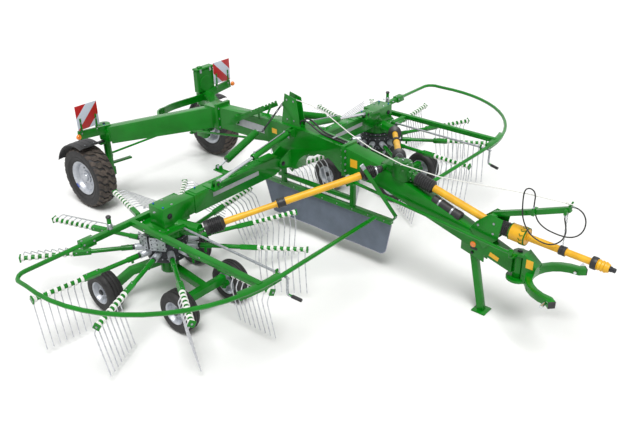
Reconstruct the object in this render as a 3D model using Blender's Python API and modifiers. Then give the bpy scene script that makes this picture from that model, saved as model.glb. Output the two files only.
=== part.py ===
"""Twin rotor hay rake, towed, with centre delivery.

Metres. +Z is up, -Y is the front with the hitch, the rear axle is at +Y.
The right rotor is at -X and the left one at +X. The origin is on the ground,
under the middle of the machine. The right side is modelled, and the left side
is its mirror image.
"""
import math

import bmesh
import bpy
from mathutils import Matrix, Vector

# Shared small sizes.
SEAT = 0.0003          # gap between two solids that touch
RUN = 0.006            # running gap between two solids that move
CUT = 0.05             # how far a cutter runs past what it cuts
CUTTER = 1.0           # size of a cutter that is wider than what it cuts
SINK = 0.03            # how far a welded piece reaches into what carries it
ROUND = 8              # sides of a round bar
MERGE = 0.00001        # welding distance

# Main beam, seen from the side: each section is y, height of its middle, height, width.
BEAM_WIDTH = 0.16
FLANGE_Y = -0.44
FLANGE_THICK = 0.02
FLANGE_HEIGHT = 0.32
FLANGE_WIDTH = 0.20
FLANGE_TOE = 0.06
FRAME_TOP = 1.26
FLANGE_LOW = 0.985
KNEE_Y = -0.90
KNEE_Z = 1.075
KNEE_HEIGHT = 0.22
NOSE_Y = -2.30
NOSE_Z = 0.625
NOSE_HEIGHT = 0.15
NOSE_WIDTH = 0.11

# Hitch: a vertical pin at the beam's nose, and a U-shaped yoke with two link pins.
HITCH_Y = -2.34
HITCH_BARREL_RADIUS = 0.05
HITCH_BARREL_LOW = 0.51
HITCH_BARREL_HIGH = 0.735
HITCH_PIN_RADIUS = 0.022
HITCH_PLATE_RADIUS = 0.10
HITCH_PLATE_THICK = 0.025
YOKE_Z = 0.585
YOKE_TUBE = 0.062
YOKE_HALF_WIDTH = 0.335
YOKE_BEND = 0.30
YOKE_BACK = 0.13
YOKE_REACH = 0.47
LINK_PIN_RADIUS = 0.014
LINK_PIN_LENGTH = 0.16
LINK_PIN_INSET = 0.055
HITCH_CAP_RADIUS = 0.0625
HITCH_WEB_WIDTH = 0.11
HITCH_WEB_THICK = 0.04
HITCH_SHELF = 0.06
HITCH_BOX_Z = 0.66
HITCH_BOX_WIDTH = 0.12
HITCH_BOX_LENGTH = 0.12
HITCH_BOX_HEIGHT = 0.12
HITCH_BOX_FOOT = 0.10
HITCH_BOX_DROP = 0.10
HITCH_BOX_LIP = 0.02
HITCH_BOX_INSET = 0.01

# Parking stand.
STAND_PIVOT_Y = -1.90
STAND_PIVOT_Z = 0.60
STAND_TUBE = 0.06
STAND_FOOT_Y = -2.03
STAND_FOOT_LENGTH = 0.14
STAND_FOOT_THICK = 0.012
STAND_PLATE_THICK = 0.008
STAND_PLATE_LENGTH = 0.24
STAND_PLATE_X = STAND_TUBE / 2 + SEAT + STAND_PLATE_THICK / 2

# Centre frame, tower and rear beam.
ARCH_Y = -0.17
ARCH_FRONT = 0.24
ARCH_TOP = 1.10
FORK_FRONT = 0.21
FORK_REAR = 0.50
FORK_LOW = 0.84
FORK_CORNER = 0.08
SADDLE_FRONT = 0.06
REAR_BEAM_WIDTH = 0.14
REAR_BEAM_TOP = 1.31
REAR_BEAM_HEIGHT = 0.26
REAR_FLANGE_WIDTH = 0.20
REAR_FLANGE_HEIGHT = 0.30
REAR_FLANGE_LIFT = 0.02
JUNCTION_Y = 1.38
JUNCTION_Z = 1.13
JUNCTION_BELOW = 0.11
JUNCTION_ABOVE = 0.13
TOWER_FRONT = 0.18
TOWER_REAR = 0.40
TOWER_TOP = 1.63
TOWER_HALF_WIDTH = 0.045
TOWER_PLATE = 0.010
TOWER_TOE = 0.02
TOWER_HEEL = 0.03
TOWER_SINK = 0.05
TOWER_LEAN_FRONT = 0.04
TOWER_LEAN_REAR = 0.03
TOWER_TOP_DROP = 0.03
TOWER_WEB_IN = 0.08
TOWER_WEB_DROP = 0.04
CHAIN_HOOK = 0.05
CHAIN_DROP = 0.12
CHAIN_Z = TOWER_TOP - CHAIN_DROP

# Notched racks on the rear beam, for tine arms taken off.
RACK_X = 0.10
RACK_FRONT_Y = 0.62
RACK_FRONT_Z = 1.43
RACK_REAR_Y = 1.12
RACK_REAR_Z = 1.17
RACK_HEIGHT = 0.06
RACK_THICK = 0.010
RACK_NOTCHES = 4
RACK_NOTCH_PITCH = 0.055
RACK_NOTCH_RADIUS = 0.017
RACK_FIRST_SHARE = 0.7
RACK_FOOT_Y = 1.06
RACK_FOOT_Z = 1.20
RACK_FOOT_WIDTH = 0.06
RACK_FOOT_LENGTH = 0.04
RACK_FOOT_HEIGHT = 0.10
RACK_STRUT = 0.02
# Columns: distance from the middle, y and z of each end of the rack's strut.
RACK_STRUT_ENDS = ((0.10, 0.70, 1.40), (0.06, 0.74, 1.27))

# Rear V frame, kingpins and rear wheels.
ARM_END_X = 0.76
ARM_END_Y = 2.50
ARM_END_Z = 0.88
ARM_WIDTH = 0.12
ARM_HEIGHT = 0.20
ARM_ROOT = 0.08
ARM_ROOT_SHARE = 1.2
ROOT_WIDTH = 0.18
ROOT_LENGTH = 0.20
ROOT_HEIGHT = 0.25
SOCKET_RADIUS = 0.072
SOCKET_ABOVE = 0.10
CHEEK_WIDTH = 0.13
CHEEK_LENGTH = 0.16
CHEEK_HEIGHT = 0.14
CHEEK_AHEAD = 0.09
KINGPIN_X = 0.76
KINGPIN_Y = 2.62
KINGPIN_TOP = 0.80
KINGPIN_RADIUS = 0.045
KINGPIN_CORE = 0.02
KINGPIN_DEPTH = 0.05
KINGPIN_BELOW = 0.06
KINGPIN_ABOVE = 0.06
CARRIER_WIDTH = 0.09
CARRIER_LENGTH = 0.16
CARRIER_HEIGHT = 0.10
REAR_AXLE_Y = 2.70
REAR_TYRE_RADIUS = 0.375
REAR_TYRE_WIDTH = 0.25
REAR_RIM_RADIUS = 0.205
REAR_WHEEL_X = 1.00
REAR_SIDES = 20
RIM_HUB_HALF = 0.06
REAR_AXLE_RADIUS = 0.03
REAR_AXLE_PAST = 0.02
REAR_SHOULDER = 0.045
TYRE_BEAD = 0.012
# Shares of the tyre's half width at bead, upper wall and crown, and of its radius at shoulder and upper wall.
TYRE_WIDTH_SHARES = (0.80, 0.92, 0.55)
TYRE_HEIGHT_SHARES = (0.80, 0.94)
# Shares of the tyre's half width: seat, edge and lip, floor at the front, wall at the back.
RIM_SEAT_SHARE = 0.72
RIM_EDGE_SHARES = (0.86, 0.80)
RIM_FLOOR_SHARE = 0.74
RIM_BACK_SHARE = 0.70
RIM_SEAT_DEPTH = 0.016
RIM_HUB_RADIUS = 0.075
RIM_DISH_RADIUS = 0.085
RIM_DISH_THICK = 0.03
RIM_DISH_RISE = 0.015
RIM_SLOPE = 0.045
RIM_FLOOR = 0.030
RIM_WALL = 0.012
RIM_LIP = 0.004
TRACK_Z = 0.47
STEER_ARM_WIDTH = 0.05
STEER_ARM_THICK = 0.02
LINK_RADIUS = 0.014
LINK_EYE_RADIUS = 0.022
LINK_EYE_ABOVE = 0.03
LINK_PAST = 0.02
LINK_LIFT = 0.01
TRACK_ARM_X = 0.60
TRACK_ARM_Y = 2.82
DRAG_ARM_X = 0.50
DRAG_ARM_AHEAD = 0.04
DRAG_FRONT_X = 0.11
DRAG_FRONT_Y = 0.66
DRAG_FRONT_Z = 0.98

# Steering rod beside the front beam, from the hitch lever back through its guide.
STEER_X = 0.125
STEER_LEAD = 0.03
STEER_LEVER_WIDTH = 0.04
STEER_ROD_RADIUS = 0.016
STEER_REAR_Y = -0.52
STEER_REAR_Z = 0.955
STEER_GUIDE = 0.06
STEER_LIFT = 0.012
STEER_FRONT_Z = HITCH_BARREL_HIGH + SEAT + HITCH_PLATE_THICK + STEER_LIFT + STEER_ROD_RADIUS

# Boards and mudguards.
BOARD_SIDE = 0.282
BOARD_THICK = 0.004
BOARD_X = 1.03
BOARD_Y = 2.49
BOARD_LOW = 1.045
BOARD_STANDOFF = 0.02
BOARD_STRAP_X = 0.10
BOARD_STRAP_WIDTH = 0.025
BOARD_STRAP_THICK = 0.012
BOARD_STRAP_LENGTH = 0.24
BOARD_SHELF_BACK = 0.03
BOARD_SHELF_DROP = 0.06
BOARD_SHELF_WIDTH = 0.03
BOARD_SHELF_HEIGHT = 0.10
FENDER_RADIUS = 0.43
FENDER_SEAT_Z = 0.765
FENDER_THICK = 0.006
FENDER_STRAP = 0.02
FENDER_START = 20
FENDER_END = 107
FENDER_WIDTH = 0.2625
FENDER_SHIFT = 0.02
FENDER_STRAP_WIDTH = 0.05
FENDER_OVERLAP = 0.06
FENDER_FOOT_X = 0.06
FENDER_FOOT_WIDTH = 0.08
FENDER_FOOT_LENGTH = 0.06
FENDER_FOOT_THICK = 0.02

# Booms and telescopes.
PIVOT_X = 0.20
PIVOT_Z = 0.93
BOOM_Y = 0.36
BOOM_WIDTH = 0.14
BOOM_HEIGHT = 0.19
BOOM_WALL = 0.008
BOOM_INNER_X = 0.30
BOOM_OUTER_X = 1.40
BOOM_FILL = 0.06
BOOM_ROOT_REACH = 0.11
BOOM_ROOT_NOSE = 0.045
BOOM_ROOT_TIP = 0.04
BOOM_ROOT_BACK = 0.03
BOOM_ROOT_LOW_BACK = 0.02
BOOM_ROOT_HALF = 0.05
BOOM_ROOT_TIP_HALF = 0.03
TELE_SLACK = 0.04
TELE_SHORT = 0.14

# Rotor head, rotor and its undercarriage.
HUB_X = 1.66
HUB_Y = 0.44
HEAD_PLATE_RADIUS = 0.21
HEAD_PLATE_LOW = 0.79
HEAD_PLATE_THICK = 0.03
CAM_RADIUS = 0.19
CAM_LOW = 0.665
CORE_RADIUS = 0.045
CORE_SINK = 0.02
SADDLE_LENGTH = 0.30
SADDLE_WIDTH = 0.20
SADDLE_OUT = 0.10
SADDLE_SHIFT = 0.04
SADDLE_SINK = 0.01
CAM_SINK = 0.005
HEAD_BOX_RADIUS = 0.06
HEAD_BOX_END_RADIUS = 0.075
HEAD_BOX_IN = 0.05
HEAD_BOX_AHEAD = 0.12
HEAD_BOX_DROP = 0.01
ROTOR_LOW = 0.46
ROTOR_HIGH = CAM_LOW - SEAT
ROTOR_RADIUS = 0.20
ROTOR_BORE = CORE_RADIUS + RUN
ARMS = 11
FIRST_ARM = 107.8
ARM_Z = 0.57
ARM_TUBE_RADIUS = 0.021
ARM_SOCKET_RADIUS = 0.034
ARM_SOCKET_END = 0.30
ARM_SOCKET_IN = 0.05
ARM_TIP = 1.345
TINES = 8
FIRST_TINE = 0.885
TINE_PITCH = 0.062
TINE_RADIUS = 0.007
TINE_KINK = 0.10
TINE_LEG = 0.435
KINK_DOWN = 61.0
LEG_DOWN = 101.0
RAISE = 66.0
# How far each arm has turned its tines up, as a share of RAISE, from the first arm round.
RAISED_SHARES = (1, 1, 0, 0, 0, 0, 0, 0, 0.5, 1, 1)

# Undercarriage, from the hub: wheels at +-x, y.
SMALL_TYRE_RADIUS = 0.203
SMALL_TYRE_WIDTH = 0.165
SMALL_BORE = 0.020
SMALL_AXLE = SMALL_BORE - RUN
SMALL_HUB_HALF = 0.05
SMALL_SHOULDER = 0.032
REAR_PAIR_X = 0.55
REAR_PAIR_Y = 0.30
FRONT_PAIR_X = 0.32
FRONT_PAIR_Y = -0.50
POT_RADIUS = 0.09
POT_LOW = 0.30
POT_HIGH = 0.44
BOGIE_TUBE = 0.07
BOGIE_WHEEL_GAP = 0.012
BOGIE_ARCH_RISE = 0.10
BOGIE_ARCH_AHEAD = 0.05
BOGIE_ARCH_SHARE = 0.6
BOGIE_TOP_Y = 0.10
BOGIE_TOP_Z = 0.06
BOGIE_SPINE_Y = 0.05
BOGIE_SPINE_Z = 0.05
BOGIE_CROSS_RISE = 0.07
BOGIE_HANGER_THICK = 0.02
BOGIE_HANGER_LENGTH = 0.06
BOGIE_HANGER_HEIGHT = 0.14
BOGIE_HANGER_RISE = 0.04
BOGIE_SHOULDER_IN = 0.008
SMALL_AXLE_SHARE = 0.2
SMALL_HUB_RADIUS = 0.040
# Small wheel from hub to tread: shares of its radius and of its half width.
SMALL_PROFILE_SHARES = ((0.46, 0.30), (0.56, 0.92), (0.82, 1.0), (1.0, 0.6))

# Guard.
GUARD_Z = 0.8455
GUARD_BEAM = 0.05
GUARD_TUBE_RADIUS = 0.020
GUARD_BEAM_Y = 0.62
GUARD_BEAM_X = HUB_X + 0.24
GUARD_JOINT_X = HUB_X + 0.72
GUARD_ARC_X = HUB_X + 0.08
GUARD_ARC_Y = 0.28
GUARD_ARC_RADIUS = 1.36
GUARD_CORNER = 0.12
GUARD_OVERLAP = 0.05
GUARD_ROOT = 0.10
GUARD_FREE_X = HUB_X - 1.24
GUARD_CLAMP = (0.14, 0.08, 0.07)
GUARD_CHANNEL_IN = 0.02
GUARD_CHANNEL_DROP = 0.012
GUARD_CHANNEL_WIDTH = 0.05
GUARD_CHANNEL_HEIGHT = 0.06
GUARD_PEG_X = HUB_X + 0.47
GUARD_PEG_RADIUS = 0.02
GUARD_PEG_HEIGHT = 0.15
# Height crank: a bent bar along the guard's middle, from the head forward.
CRANK_BACK = 0.26
CRANK_Y = -1.11
CRANK_DROP = 0.01
CRANK_ARM = 0.16
CRANK_GRIP = 0.12
CRANK_GRIP_DROP = 0.02
CRANK_RADIUS = 0.010
CRANK_EYE_Y = -1.0
CRANK_EYE = (0.03, 0.012, 0.07)
CRANK_TIE = 0.02
CRANK_TIE_DROP = 0.03
CRANK_TIE_AHEAD = 0.05
CRANK_FOOT = (0.06, 0.05, 0.03)
CRANK_FOOT_RISE = 0.005
CRANK_LINK = (0.24, 0.05, 0.02)
CRANK_LINK_RISE = 0.013

# Lift cylinder, spring and chain.
LIFT_Y = 0.24
LIFT_TOP_X = 0.12
LIFT_TOP_Z = 1.27
LIFT_EYE_X = 1.17
LIFT_EYE_Z = 1.08
BARREL_RADIUS = 0.032
BARREL_LENGTH = 0.56
LIFT_ROD_RADIUS = 0.016
LIFT_STROKE = 0.44
LIFT_EYE_RADIUS = 0.026
LIFT_ROD_EYE_RADIUS = 0.024
LIFT_NECK_RADIUS = 0.018
LIFT_NECK = 0.06
BARREL_START = 0.04
BARREL_BOTTOM = 0.07
LIFT_EYE_WIDTH = 0.04
EAR_THICK = 0.012
EAR_Y = BOOM_WIDTH / 2 + SEAT + EAR_THICK / 2
EAR_SINK = 0.01
EAR_NOSE = 0.055
EAR_BELOW = 0.09
EAR_ABOVE = 0.12
LIFT_EAR_Y = LIFT_EYE_WIDTH / 2 + SEAT + EAR_THICK / 2
LIFT_EAR_DROP = 0.08
LIFT_EAR_NOSE = 0.03
LIFT_EAR_LIP = 0.02
LIFT_LUG_FOOT = 0.045
LIFT_LUG_TOP = 0.02
LIFT_LUG_ABOVE = 0.025
LIFT_SHELF_LENGTH = 0.10
LIFT_SHELF_EXTRA = 0.06
LIFT_SHELF_THICK = 0.014
LIFT_SHELF_SHIFT = 0.01
LIFT_SHELF_RISE = 0.005
SPRING_Y = 0.52
SPRING_FOOT_X = 0.87
SPRING_FOOT_Z = 1.06
SPRING_HEAD_X = 0.30
SPRING_HEAD_Z = 1.27
SPRING_RADIUS = 0.034
SPRING_EYE_WIDTH = 0.04
SPRING_EYE_RADIUS = 0.018
SPRING_SHANK_RADIUS = 0.007
SPRING_SHANK = 0.14
SPRING_COIL_START = 0.12
SPRING_COIL_SHORT = 0.03
SPRING_TIP_RADIUS = 0.010
SPRING_TIP = 0.05
SPRING_PIN_RADIUS = 0.008
SPRING_PIN = 0.0455
SPRING_SHELF_LENGTH = 0.07
SPRING_SHELF_EXTRA = 0.10
SPRING_SHELF_THICK = 0.012
SPRING_SHELF_RISE = 0.004
SPRING_LUG_FOOT = 0.03
SPRING_LUG_TOP = 0.018
SPRING_LUG_ABOVE = 0.02
SPRING_LUG_THICK = 0.008
SPRING_LUG_Y = SPRING_EYE_WIDTH / 2 + SEAT + SPRING_LUG_THICK / 2
CHAIN_Y = 0.415
CHAIN_LINK_RADIUS = 0.012
CHAIN_X = 0.03
CHAIN_LINKS = 7
CHAIN_OVERLAP_SHARE = 0.25
CHAIN_THIN_SHARE = 0.75
LINK_FACET_SHARE = 0.93

# Drive line: centre gearbox, front shaft and the two side shafts.
GEARBOX_Y = -1.08
GEARBOX_Z = 1.185
GEARBOX_RADIUS = 0.115
GEARBOX_NOSE = 0.17
GEARBOX_NOSE_RADIUS = 0.05
GEARBOX_BELOW = 0.085
GEARBOX_ABOVE = 0.075
GEARBOX_TOP_RADIUS = 0.092
STUB_START = 0.02
STUB_RADIUS = 0.028
GEARBOX_SADDLE = (0.15, 0.24, 0.12)
GEARBOX_SADDLE_DROP = 0.035
FRONT_BEARING = (0, -2.08, 0.935)
JOINT_X = 0.165
JOINT_Y = -0.93
JOINT_Z = 1.20
HEAD_INPUT_X = HUB_X - 0.16
HEAD_INPUT_Y = 0.06
HEAD_INPUT_Z = 0.80
HEAD_INPUT_HALF = 0.07
HEAD_INPUT_RADIUS = 0.014
HEAD_INPUT_BOX = 0.05
BALL_RADIUS = 0.035
BALL_NECK = 0.03
JOINT_REACH = 0.185
JOINT_GAP = 0.0008
GUARD_PIPE_RADIUS = 0.035
GUARD_PIPE_WALL = 0.007
BOOT_RADIUS = 0.06
BOOT_FOLD = 0.042
BOOT_FOLD_START = 0.045
BOOT_FOLD_MIDDLE = 0.021
BOOT_FOLD_DEPTH = 0.008
BOOT_FOLDS = 3
CUP_LIP = 0.002
CUP_DEPTH = 0.02
SHAFT_TUBE_END = 1.02
SHAFT_INNER_START = 0.51
SHAFT_FOLD_STROKE = 0.29
SHAFT_STEP = 0.01
SHAFT_STEP_DEPTH = 0.004
COLLAR_THICK = 0.012
COLLAR_LENGTH = 0.08
COLLAR_END = 0.01
SLIDE_BOOT_LENGTH = 0.19
SLIDE_BOOT_RADIUS = 0.068
SLIDE_BOOT_CONE = 0.02
SLIDE_FOLD = 0.045
SLIDE_FOLD_START = 0.04
SLIDE_FOLD_MIDDLE = 0.02
SLIDE_FOLD_DEPTH = 0.006
SLIDE_FOLDS = 3
SLIDE_MOUTH = 0.011
SLIDE_MOUTH_IN = 0.013
SLIDE_MOUTH_FLOOR = 0.03

# Front drive line: bellows and guard tube to the bearing, then the tractor shaft.
FRONT_BELLOWS = 0.20
FRONT_BELLOWS_RADIUS = 0.055
FRONT_BELLOWS_OVERLAP = 0.02
TRACTOR_END = (0, -3.17, 0.885)
# Columns: start and end along the tractor shaft, radius at both.
TRACTOR_ROWS = (
    (0, 0.16, 0.058, 0.058),
    (0.15, 0.31, 0.075, 0.080),
    (0.30, 0.90, 0.032, 0.032),
    (0.60, 0.66, 0.042, 0.042),
    (0.88, 0.93, 0.055, 0.055),
    (0.92, 1.03, 0.050, 0.030),
    (1.02, 1.08, 0.024, 0.024),
)

# Bearing bracket on the beam, and the arm that holds the hoses.
BRACKET_PLATE = 0.008
# Columns: y and z of the bracket plates' corners.
BRACKET_OUTLINE = ((-1.87, 0.86), (-1.93, 0.95), (-2.05, 1.06), (-2.18, 1.04), (-2.15, 0.84), (-2.02, 0.70))
BRIDGE_Y = -2.08
BRIDGE_Z = 1.04
BRIDGE_LENGTH = 0.05
BRIDGE_THICK = 0.03
BEARING_SEAT_Y = -1.98
BEARING_SEAT_Z = 0.81
BEARING_SEAT_LENGTH = 0.10
BEARING_SEAT_HEIGHT = 0.12
ARM_TUBE = 0.045
# Columns: x, y and z along the arm.
HOSE_ARM = ((0, -2.06, 1.04), (0, -2.40, 1.17), (0, -2.72, 1.30))
ARM_HOOK = ((0, -2.70, 1.30), (0, -2.73, 1.37))
ARM_HOOK_RADIUS = 0.008

# Hoses and pull rope.
HOSE_RADIUS = 0.006
HOSE_X = 0.05
HOSE_STEPS = 2
HOSE_CLAMP_INNER = 0.020
HOSE_CLAMP_OUTER = 0.062
HOSE_CLAMP_LENGTH = 0.024
# Columns: side, y, low z, high z.
HOSE_CLAMPS = (
    (-1, -2.430, 1.165, 1.2297),
    (-1, -2.700, 1.262, 1.306),
    (1, -2.410, 1.150, 1.195),
    (1, -2.700, 1.285, 1.315),
)
# Route points of the hoses: y and z, each hose in its own upright plane.
HOSE_ONE = (
    (-2.430, 1.2300), (-2.430, 1.262), (-2.430, 1.30), (-2.430, 1.345), (-2.415, 1.385), (-2.380, 1.401),
    (-2.345, 1.385), (-2.330, 1.345), (-2.328, 1.28), (-2.333, 1.20), (-2.346, 1.12), (-2.380, 1.045),
    (-2.435, 0.985), (-2.510, 0.953), (-2.589, 0.948), (-2.655, 0.975), (-2.705, 1.03), (-2.727, 1.10),
    (-2.718, 1.165), (-2.704, 1.215), (-2.700, 1.24), (-2.700, 1.2617),
)
HOSE_TWO = (
    (-2.410, 1.1497), (-2.411, 1.13), (-2.420, 1.105), (-2.442, 1.072), (-2.480, 1.043), (-2.530, 1.022),
    (-2.590, 1.012), (-2.650, 1.008), (-2.710, 1.014), (-2.765, 1.036), (-2.808, 1.075), (-2.833, 1.125),
    (-2.841, 1.18), (-2.832, 1.23), (-2.805, 1.272), (-2.765, 1.295), (-2.735, 1.2995), (-2.7123, 1.300),
)
ROPE_RADIUS = 0.005
# Route of the pull rope: x, y and z, from the tower to the hose arm's hook.
ROPE = (
    (0, 0.2547, 1.575), (0, 0.20, 1.575), (-0.03, 0.02, 1.578), (-0.055, -0.20, 1.545), (-0.08, -0.50, 1.43),
    (-0.09, -0.785, 1.342), (-0.09, -1.145, 1.277), (-0.09, -1.545, 1.274), (-0.06, -1.90, 1.30),
    (-0.035, -2.30, 1.335), (-0.0132, -2.69, 1.350), (-0.0132, -2.745, 1.352),
)

# Curtain between the rotors.
CURTAIN_FRONT = -0.98
CURTAIN_REAR = 0.76
CURTAIN_TOP = 0.555
CURTAIN_LOW = 0.17
CURTAIN_THICK = 0.006
CURTAIN_RAIL = 0.05
CURTAIN_CORNER = 0.10
CURTAIN_SLANT_FRONT = 0.05
CURTAIN_SLANT_REAR = 0.12
HANGER_BAR = 0.04
HANGER_POST = 0.05
HANGER_LENGTH = 1.02
HANGER_Y = 0.02
HANGER_Z = 0.68
HANGER_FOOT = 0.60
HANGER_FRONT_Y = -0.49
HANGER_FRONT_LENGTH = 0.42
HANGER_REAR_Y = 0.46

COLOURS = {
    "green_paint": ((0.02, 0.30, 0.03), 0.35, 0.0),
    "silver_steel": ((0.62, 0.63, 0.64), 0.35, 0.9),
    "black_rubber": ((0.02, 0.02, 0.02), 0.8, 0.0),
    "tyre_rubber": ((0.04, 0.032, 0.028), 0.9, 0.0),
    "yellow_guard": ((0.75, 0.48, 0.03), 0.5, 0.0),
    "board_red_white": ((0.70, 0.05, 0.04), 0.4, 0.0),
    "curtain_cloth": ((0.10, 0.13, 0.17), 0.8, 0.0),
}

for stale in list(bpy.data.objects):
    bpy.data.objects.remove(stale, do_unlink=True)
machine = bpy.data.collections.new("twin_rotor_hay_rake")
bpy.context.scene.collection.children.link(machine)


def make_material(name):
    """One plain Principled material for each finish."""
    colour, roughness, metallic = COLOURS[name]
    material = bpy.data.materials.new(name)
    material.use_nodes = True
    shader = material.node_tree.nodes["Principled BSDF"]
    shader.inputs["Base Color"].default_value = (*colour, 1)
    shader.inputs["Roughness"].default_value = roughness
    shader.inputs["Metallic"].default_value = metallic
    material.diffuse_color = (*colour, 1)
    return material


MATERIALS = {name: make_material(name) for name in COLOURS}


def out(x, y, z):
    """A point on the right side, with x measured outward from the middle."""
    return Vector((-x, y, z))


def link_mesh(name, shape):
    """Put a bmesh into a new object of the machine."""
    bmesh.ops.recalc_face_normals(shape, faces=shape.faces)
    mesh = bpy.data.meshes.new(name)
    shape.to_mesh(mesh)
    shape.free()
    thing = bpy.data.objects.new(name, mesh)
    machine.objects.link(thing)
    return thing


def block(size, middle, turn_z=0.0):
    """A box by its size and middle."""
    shape = bmesh.new()
    place = Matrix.Translation(middle) @ Matrix.Rotation(turn_z, 4, "Z") @ Matrix.Diagonal((*size, 1))
    bmesh.ops.create_cube(shape, size=1, matrix=place)
    return link_mesh("block", shape)


def aim(start, end):
    """The turn that lays +Z along start to end, with its middle between them."""
    direction = Vector(end) - Vector(start)
    turn = direction.to_track_quat("Z", "Y").to_matrix().to_4x4()
    return Matrix.Translation((Vector(start) + Vector(end)) / 2) @ turn


def bar(start, end, radius, end_radius=None, sides=ROUND):
    """A round bar or a cone between two points."""
    shape = bmesh.new()
    length = (Vector(end) - Vector(start)).length
    last = radius if end_radius is None else end_radius
    bmesh.ops.create_cone(shape, cap_ends=True, segments=sides, radius1=radius, radius2=last,
                          depth=length, matrix=aim(start, end))
    return link_mesh("bar", shape)


def turned(profile, start, toward, sides=ROUND):
    """A solid of revolution: profile rows are radius and distance from start toward a point."""
    mesh = bpy.data.meshes.new("profile")
    points = [(radius, 0, along) for radius, along in profile]
    closed = profile[0] == profile[-1]
    if closed:
        points = points[:-1]
    edges = [(i, i + 1) for i in range(len(points) - 1)]
    if closed:
        edges.append((len(points) - 1, 0))
    mesh.from_pydata(points, edges, [])
    thing = bpy.data.objects.new("turned", mesh)
    machine.objects.link(thing)
    screw = thing.modifiers.new("turn", "SCREW")
    screw.steps = sides
    screw.render_steps = sides
    screw.use_merge_vertices = True
    screw.merge_threshold = MERGE
    direction = (Vector(toward) - Vector(start)).to_track_quat("Z", "Y").to_matrix().to_4x4()
    place = Matrix.Translation(start) @ direction
    return bake(thing, place)


def bake(thing, place=None):
    """Turn an object and its modifiers into a plain closed mesh at its place."""
    bpy.context.view_layer.update()
    graph = bpy.context.evaluated_depsgraph_get()
    mesh = bpy.data.meshes.new_from_object(thing.evaluated_get(graph))
    mesh.transform(place if place is not None else thing.matrix_world)
    shape = bmesh.new()
    shape.from_mesh(mesh)
    bmesh.ops.remove_doubles(shape, verts=shape.verts, dist=MERGE)
    bmesh.ops.recalc_face_normals(shape, faces=shape.faces)
    shape.to_mesh(mesh)
    shape.free()
    baked = bpy.data.objects.new(thing.name, mesh)
    machine.objects.link(baked)
    bpy.data.objects.remove(thing, do_unlink=True)
    return baked


def pipe(points, radius, sides=8):
    """A bent round bar through points, as a curve with a bevel, made a mesh."""
    curve = bpy.data.curves.new("pipe", "CURVE")
    curve.dimensions = "3D"
    curve.bevel_depth = radius
    curve.bevel_resolution = sides // 2 - 2
    curve.resolution_u = 1
    curve.render_resolution_u = 0
    curve.use_fill_caps = True
    spline = curve.splines.new("POLY")
    spline.points.add(len(points) - 1)
    for spot, point in zip(spline.points, points):
        spot.co = (*point, 1)
    thing = bpy.data.objects.new("pipe", curve)
    machine.objects.link(thing)
    return bake(thing)


def plate(outline, thickness, middle, right, up):
    """A flat plate: outline points run along two axes from middle, thick both ways."""
    curve = bpy.data.curves.new("plate", "CURVE")
    curve.dimensions = "2D"
    curve.fill_mode = "BOTH"
    curve.extrude = thickness / 2
    curve.resolution_u = 1
    curve.render_resolution_u = 0
    spline = curve.splines.new("POLY")
    spline.points.add(len(outline) - 1)
    spline.use_cyclic_u = True
    for spot, (across, along) in zip(spline.points, outline):
        spot.co = (across, along, 0, 1)
    thing = bpy.data.objects.new("plate", curve)
    machine.objects.link(thing)
    right, up = Vector(right).normalized(), Vector(up).normalized()
    turn = Matrix((right, up, right.cross(up))).transposed().to_4x4()
    return bake(thing, Matrix.Translation(middle) @ turn)


def sweep(points, width, height):
    """A rectangular beam through points, its width level; sizes may be one value or a row."""
    shape = bmesh.new()
    rings = []
    points = [Vector(point) for point in points]
    widths = width if isinstance(width, (tuple, list)) else [width] * len(points)
    heights = height if isinstance(height, (tuple, list)) else [height] * len(points)
    for i, point in enumerate(points):
        before = point - points[i - 1] if i else points[1] - point
        after = points[i + 1] - point if i < len(points) - 1 else point - points[i - 1]
        along = (before.normalized() + after.normalized()).normalized()
        side = along.cross(Vector((0, 0, 1))).normalized()
        over = side.cross(along)
        stretch = 1 / max(along.dot(after.normalized()), 0.5)
        bend = before.normalized().cross(after.normalized())
        level = abs(bend.z) >= bend.length / 2
        half_w = widths[i] / 2 * (stretch if level else 1)
        half_h = heights[i] / 2 * (1 if level else stretch)
        ring = [point + side * half_w * a + over * half_h * b for a, b in ((1, 1), (-1, 1), (-1, -1), (1, -1))]
        rings.append([shape.verts.new(corner) for corner in ring])
    for first, second in zip(rings, rings[1:]):
        for j in range(4):
            shape.faces.new((first[j], first[(j + 1) % 4], second[(j + 1) % 4], second[j]))
    shape.faces.new(rings[0])
    shape.faces.new(reversed(rings[-1]))
    return link_mesh("sweep", shape)


def merge(pieces):
    """Put several closed pieces into one mesh object without joining them."""
    shape = bmesh.new()
    for piece in pieces:
        shape.from_mesh(piece.data)
        bpy.data.objects.remove(piece, do_unlink=True)
    mesh = bpy.data.meshes.new("merged")
    shape.to_mesh(mesh)
    shape.free()
    thing = bpy.data.objects.new("merged", mesh)
    machine.objects.link(thing)
    return thing


def boolean(base, other, operation):
    """Join or cut with the exact solver, and keep the result as a plain mesh."""
    change = base.modifiers.new(operation, "BOOLEAN")
    change.operation = operation
    change.solver = "EXACT"
    change.use_self = operation == "UNION"
    change.object = other
    result = bake(base)
    bpy.data.objects.remove(other, do_unlink=True)
    return result


def fuse(pieces, cuts=()):
    """One closed solid from overlapping pieces, less the cutters."""
    base = pieces[0]
    if len(pieces) > 1:
        base = boolean(base, merge(pieces[1:]), "UNION")
    if cuts:
        base = boolean(base, merge(list(cuts)), "DIFFERENCE")
    return base


NODES = {}


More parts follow.
